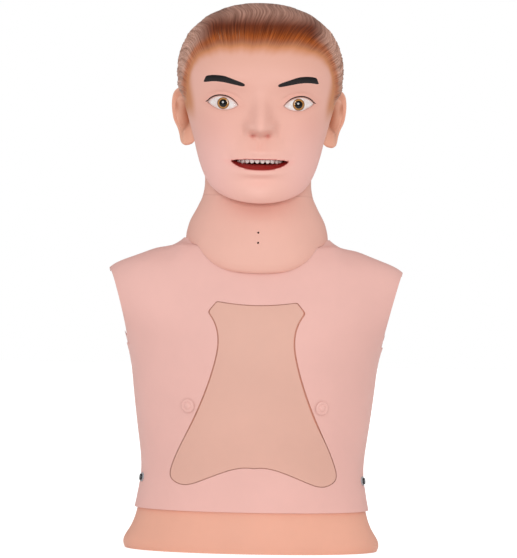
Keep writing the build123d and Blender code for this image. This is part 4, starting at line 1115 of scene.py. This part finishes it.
class CAREMODEL_OT_eyes(bpy.types.Operator):
    """Form the two eyes behind the lids"""
    bl_idname = "caremodel.eyes"
    bl_label = "Eyes"

    def execute(self, context):
        settings = context.scene.care_head
        angle = np.linspace(0.0, 2 * pi, 97)
        shares = np.concatenate([np.linspace(0.0, 1.0, 30), np.linspace(1.03, 1.22, 6)])
        rim = eye_reach(np.where(angle > pi, angle - 2 * pi, angle))
        for side, name in ((1, "left"), (-1, "right")):
            edge = on_face((EYE_CENTRE[0] + rim * np.cos(angle)) * side, EYE_CENTRE[1] + rim * np.sin(angle),
                           settings)
            slope = np.polyfit(edge[:, 0], edge[:, 1], 1)
            warp = edge[:, 1] - np.polyval(slope, edge[:, 0])
            front = np.polyval(slope, (EYE_CENTRE[0] + IRIS_OFFSET[0]) * side) - 1.9
            points = []
            for share in shares:
                x = EYE_CENTRE[0] + rim * share * np.cos(angle)
                z = EYE_CENTRE[1] + rim * share * np.sin(angle)
                fitted = np.polyval(slope, x * side) + warp * share**2
                y = fitted + 2.2 - 3.6 * (1 - min(share, 1.0) ** 2) + 14.0 * max(share - 1.0, 0.0)
                away = np.hypot(x - EYE_CENTRE[0] - IRIS_OFFSET[0], z - EYE_CENTRE[1] - IRIS_OFFSET[1])
                near = ease((10.5 - away) / 7.0)
                y = y + (front + away**2 / 44.0 - y) * near
                points.append(np.column_stack([x * side, y, z]))
            eye = wrap(f"{name}_eyeball", np.array(points))
            close_seams(eye)
            front = eye.data.polygons[len(eye.data.polygons) // 3]
            if front.normal.y > 0:
                turn_over(eye)
            smooth_faces(eye, 60.0)
            glass = eye_material(f"{name}_eye_glass", side, settings)
            dress(eye, glass, "head", [f"{name}_eye"])
        return {"FINISHED"}


class CAREMODEL_OT_mouth(bpy.types.Operator):
    """Form the upper teeth and the tongue, and line the mouth"""
    bl_idname = "caremodel.mouth"
    bl_label = "Mouth"

    def tooth(self, turn, width, centre):
        """One tooth of the arch, at its turn from the arch's middle"""
        bpy.ops.mesh.primitive_cube_add(size=1.0)
        tooth = bpy.context.active_object
        place_points(tooth.data, points_of(tooth.data) * np.array([width, TOOTH_DEPTH, TOOTH_HEIGHT]))
        edit_whole(tooth, lambda: bpy.ops.mesh.subdivide(number_cuts=3))
        x, y, z = points_of(tooth.data).T
        taper = 1.0 - 0.04 * ease(-z / 8.0)
        belly = -0.9 * (1 - (2 * x / width) ** 2) * ease((y * -1 + 1.0) / 2.0)
        tip = 2.2 * np.abs(2 * x / width) ** 2.2 * ease((-z - 1.0) / 4.0)
        thin = 1.0 - 0.45 * ease((-z - 1.0) / 5.0)
        points = np.column_stack([x * taper, y * thin + belly, z + tip])
        across = np.array([cos(turn), sin(turn), 0.0])
        deep = np.array([-sin(turn), cos(turn), 0.0])
        points = centre + points[:, :1] * across + points[:, 1:2] * deep + points[:, 2:] * UP
        place_points(tooth.data, points * MM)
        modifier = tooth.modifiers.new("round", "SUBSURF")
        modifier.levels = modifier.render_levels = 1
        bpy.ops.object.modifier_apply(modifier=modifier.name)
        return tooth

    def teeth(self, count):
        """The arch of upper teeth, placed by the solid that it stands for"""
        low, high = (np.array(corner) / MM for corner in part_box("upper_teeth"))
        middle, tips = high[1] + TEETH_BEHIND, low[2] - TEETH_BELOW
        enamel = Finish("enamel", 0.18)
        enamel.colour(enamel.ramp(enamel.noise(120.0), [(0.3, (0.98, 0.86, 0.80)), (0.7, (1.0, 0.94, 0.90))]))
        enamel.shader.inputs["Coat Weight"].default_value = 0.6
        width = TEETH_RADIUS * TEETH_SPREAD / count * 1.03
        pieces = []
        for i in range(count):
            turn = TEETH_SPREAD * ((i + 0.5) / count - 0.5)
            centre = np.array([TEETH_RADIUS * sin(turn), middle - TEETH_RADIUS * cos(turn),
                               tips + 0.5 * turn**2 + TOOTH_HEIGHT / 2])
            pieces.append(self.tooth(turn, width, centre))
        teeth = join(pieces, "tooth_row")
        smooth_faces(teeth, 60.0)
        dress(teeth, enamel.material, "head", ["upper_teeth"])

    def tongue(self):
        """The tongue: flat below, domed above, with a groove along its middle"""
        low, high = (np.array(corner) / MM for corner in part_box("tongue"))
        middle, half = (low + high) / 2, (high - low) / 2
        turn = np.linspace(0.0, 2 * pi, 73)
        below, above = np.linspace(0.0, 1.0, 12)[:-1], np.linspace(1.0, 0.0, 26)
        rows = []
        for share in np.concatenate([below, above]):
            x = half[0] * share * np.sin(turn)
            y = half[1] * share * -np.cos(turn)
            z = np.full_like(x, low[2])
            if len(rows) >= len(below):
                z = low[2] + 2 * half[2] * (1 - share**2.6) ** 0.6
                z = z - 1.8 * bell(x, 2.6) * (1 - share**4) * ease((half[1] * 0.8 - np.abs(y)) / 8.0)
            rows.append(np.column_stack([middle[0] + x, middle[1] + y, z]))
        tongue = wrap("tongue_pad", np.array(rows))
        close_seams(tongue)
        smooth_faces(tongue, 70.0)
        flesh = vinyl("tongue_vinyl", (0.62, 0.06, 0.045), 0.34, 1500.0, 0.12)
        dress(tongue, flesh, "head", ["tongue"])

    def execute(self, context):
        self.teeth(context.scene.care_head.teeth)
        self.tongue()
        lining = vinyl("mouth_lining", tuple(context.scene.care_colours.mouth), 0.42, 700.0, 0.15)
        coat(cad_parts["mouth_liner"], lining)
        return {"FINISHED"}


def copy_node(node, name):
    """A merged, smooth-shaded copy of a solid"""
    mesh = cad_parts[node].data.copy()
    mesh.name = name
    piece = bpy.data.objects.new(name, mesh)
    bpy.context.scene.collection.objects.link(piece)
    edit_whole(piece, lambda: bpy.ops.mesh.remove_doubles(threshold=COPY_MERGE))
    if mesh.has_custom_normals:
        bpy.ops.mesh.customdata_custom_splitnormals_clear()
    smooth_faces(piece, 35.0)
    return piece


class CAREMODEL_OT_torso(bpy.types.Operator):
    """Dress the neck skin, the chest cover, its plate, the shell and the studs"""
    bl_idname = "caremodel.torso"
    bl_label = "Torso"

    def nipples(self, cover, material):
        """The two moulded nipples, each a low dome in a shallow ring"""
        turn = np.linspace(0.0, 2 * pi, 49)
        across, up = NIPPLE_PLACE
        domes = []
        for side in (1, -1):
            place, normal = cover.ray_cast(Vector((side * across, -0.3, up)), Vector((0.0, 1.0, 0.0)))[1:3]
            turned = normal.to_track_quat("Z", "Y").to_matrix()
            rows = [
                [tuple((place + turned @ (Vector((r * cos(a), r * sin(a), h)) * MM)) / MM) for a in turn]
                for r, h in NIPPLE_RINGS
            ]
            domes.append(wrap("nipple", np.array(rows)))
            close_seams(domes[-1], outwards=False)
            if domes[-1].data.polygons[60].normal.dot(normal) < 0:
                turn_over(domes[-1])
        piece = join(domes, "nipples")
        smooth_faces(piece, 70.0)
        dress(piece, material, "torso")

    def execute(self, context):
        colours = context.scene.care_colours
        for node, name, body, slot, material in (
            ("neck_skin", "neck_skin_vinyl", "torso", "neck_vinyl",
             vinyl("neck_vinyl", tuple(colours.neck), 0.56, 900.0, 0.03)),
            ("chest_cover", "chest_cover_skin", "torso", "chest_skin",
             vinyl("chest_skin", tuple(colours.cover), 0.55, 700.0, 0.03)),
            ("chest_plate", "chest_plate_skin", "plate", "plate_skin",
             vinyl("plate_skin", tuple(colours.plate), 0.58, 700.0, 0.03)),
            ("body_shell", "torso_shell", "torso", "abdomen_shell",
             vinyl("shell_plastic", tuple(colours.shell), 0.55, 500.0, 0.04)),
        ):
            piece = copy_node(node, name)
            points = points_of(piece.data) / MM
            x, z = points[:, 0], points[:, 2]
            if node == "chest_plate":
                span = ease((z - 118.0) / 30.0) * ease((292.0 - z) / 30.0)
                points[:, 0] -= x * span * np.where(x > 0, 0.022, 0.012)
            elif node == "chest_cover":
                top = ease((z - 300.0) / 24.0)
                wide = np.abs(x)
                points[:, 2] += top * (1.6 * bell(wide - 83.0, 7.0) - 1.6 * bell(wide - 100.0, 11.0))
            place_points(piece.data, points * MM)
            dress(piece, material, body, [node])
            if node == "chest_cover":
                self.nipples(piece, material)
        for node, material in (
            ("cover_studs", gloss_paint("stud_black", (0.02, 0.02, 0.022), 0.35)),
            ("cover_stud_washers", moulded("washer_grey", (0.36, 0.36, 0.38), 0.5)),
        ):
            coat(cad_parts[node], material)
        return {"FINISHED"}


class CAREMODEL_OT_inside(bpy.types.Operator):
    """Finish the swivel, the airway, the organs and their panel"""
    bl_idname = "caremodel.inside"
    bl_label = "Inside"

    def execute(self, context):
        cream = moulded("inner_plastic", (0.78, 0.72, 0.62), 0.42)
        steel = metal("screw_steel")
        pink = moulded("airway_pink", (0.78, 0.46, 0.38), 0.40, 0.10)
        red = moulded("organ_red", (0.56, 0.17, 0.12), 0.38, 0.14)
        lung = moulded("lung_pink", (0.74, 0.31, 0.29), 0.5, 0.16)
        base = moulded("base_plate", (0.80, 0.44, 0.33), 0.45)
        for material, nodes in (
            (cream, ("neck_post", "swivel_plate", "swivel_retainer", "organ_tray")),
            (steel, ("neck_post_screws", "swivel_screws", "waist_plate_screws")),
            (pink, ("larynx", "epiglottis", "trachea", "bronchi")),
            (red, ("oesophagus", "stomach")),
            (lung, ("left_lung", "right_lung")),
            (base, ("waist_plate",)),
        ):
            for node in nodes:
                coat(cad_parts[node], material)
        return {"FINISHED"}


class CAREMODEL_PT_panel(bpy.types.Panel):
    """The model's pieces and their settings"""
    bl_label = "Care model"
    bl_space_type = "VIEW_3D"
    bl_region_type = "UI"
    bl_category = "Care model"

    def draw(self, context):
        scene = context.scene
        for settings in (scene.care_head, scene.care_colours, scene.care_stage):
            box = self.layout.box()
            for key in settings.__annotations__:
                box.prop(settings, key)
        for operator in OPERATORS:
            self.layout.operator(operator.bl_idname)


OPERATORS = (
    CAREMODEL_OT_stage,
    CAREMODEL_OT_head,
    CAREMODEL_OT_brows,
    CAREMODEL_OT_eyes,
    CAREMODEL_OT_mouth,
    CAREMODEL_OT_torso,
    CAREMODEL_OT_inside,
)
CLASSES = (HeadSettings, ColourSettings, StageSettings, *OPERATORS, CAREMODEL_PT_panel)


def register():
    for item in CLASSES:
        bpy.utils.register_class(item)
    bpy.types.Scene.care_head = PointerProperty(type=HeadSettings)
    bpy.types.Scene.care_colours = PointerProperty(type=ColourSettings)
    bpy.types.Scene.care_stage = PointerProperty(type=StageSettings)


def unregister():
    del bpy.types.Scene.care_stage
    del bpy.types.Scene.care_colours
    del bpy.types.Scene.care_head
    for item in reversed(CLASSES):
        bpy.utils.unregister_class(item)


def main():
    deselect()
    register()
    bpy.ops.caremodel.stage()
    bpy.ops.caremodel.head()
    bpy.ops.caremodel.brows()
    bpy.ops.caremodel.eyes()
    bpy.ops.caremodel.mouth()
    bpy.ops.caremodel.torso()
    bpy.ops.caremodel.inside()


if __name__ == "__main__":
    main()
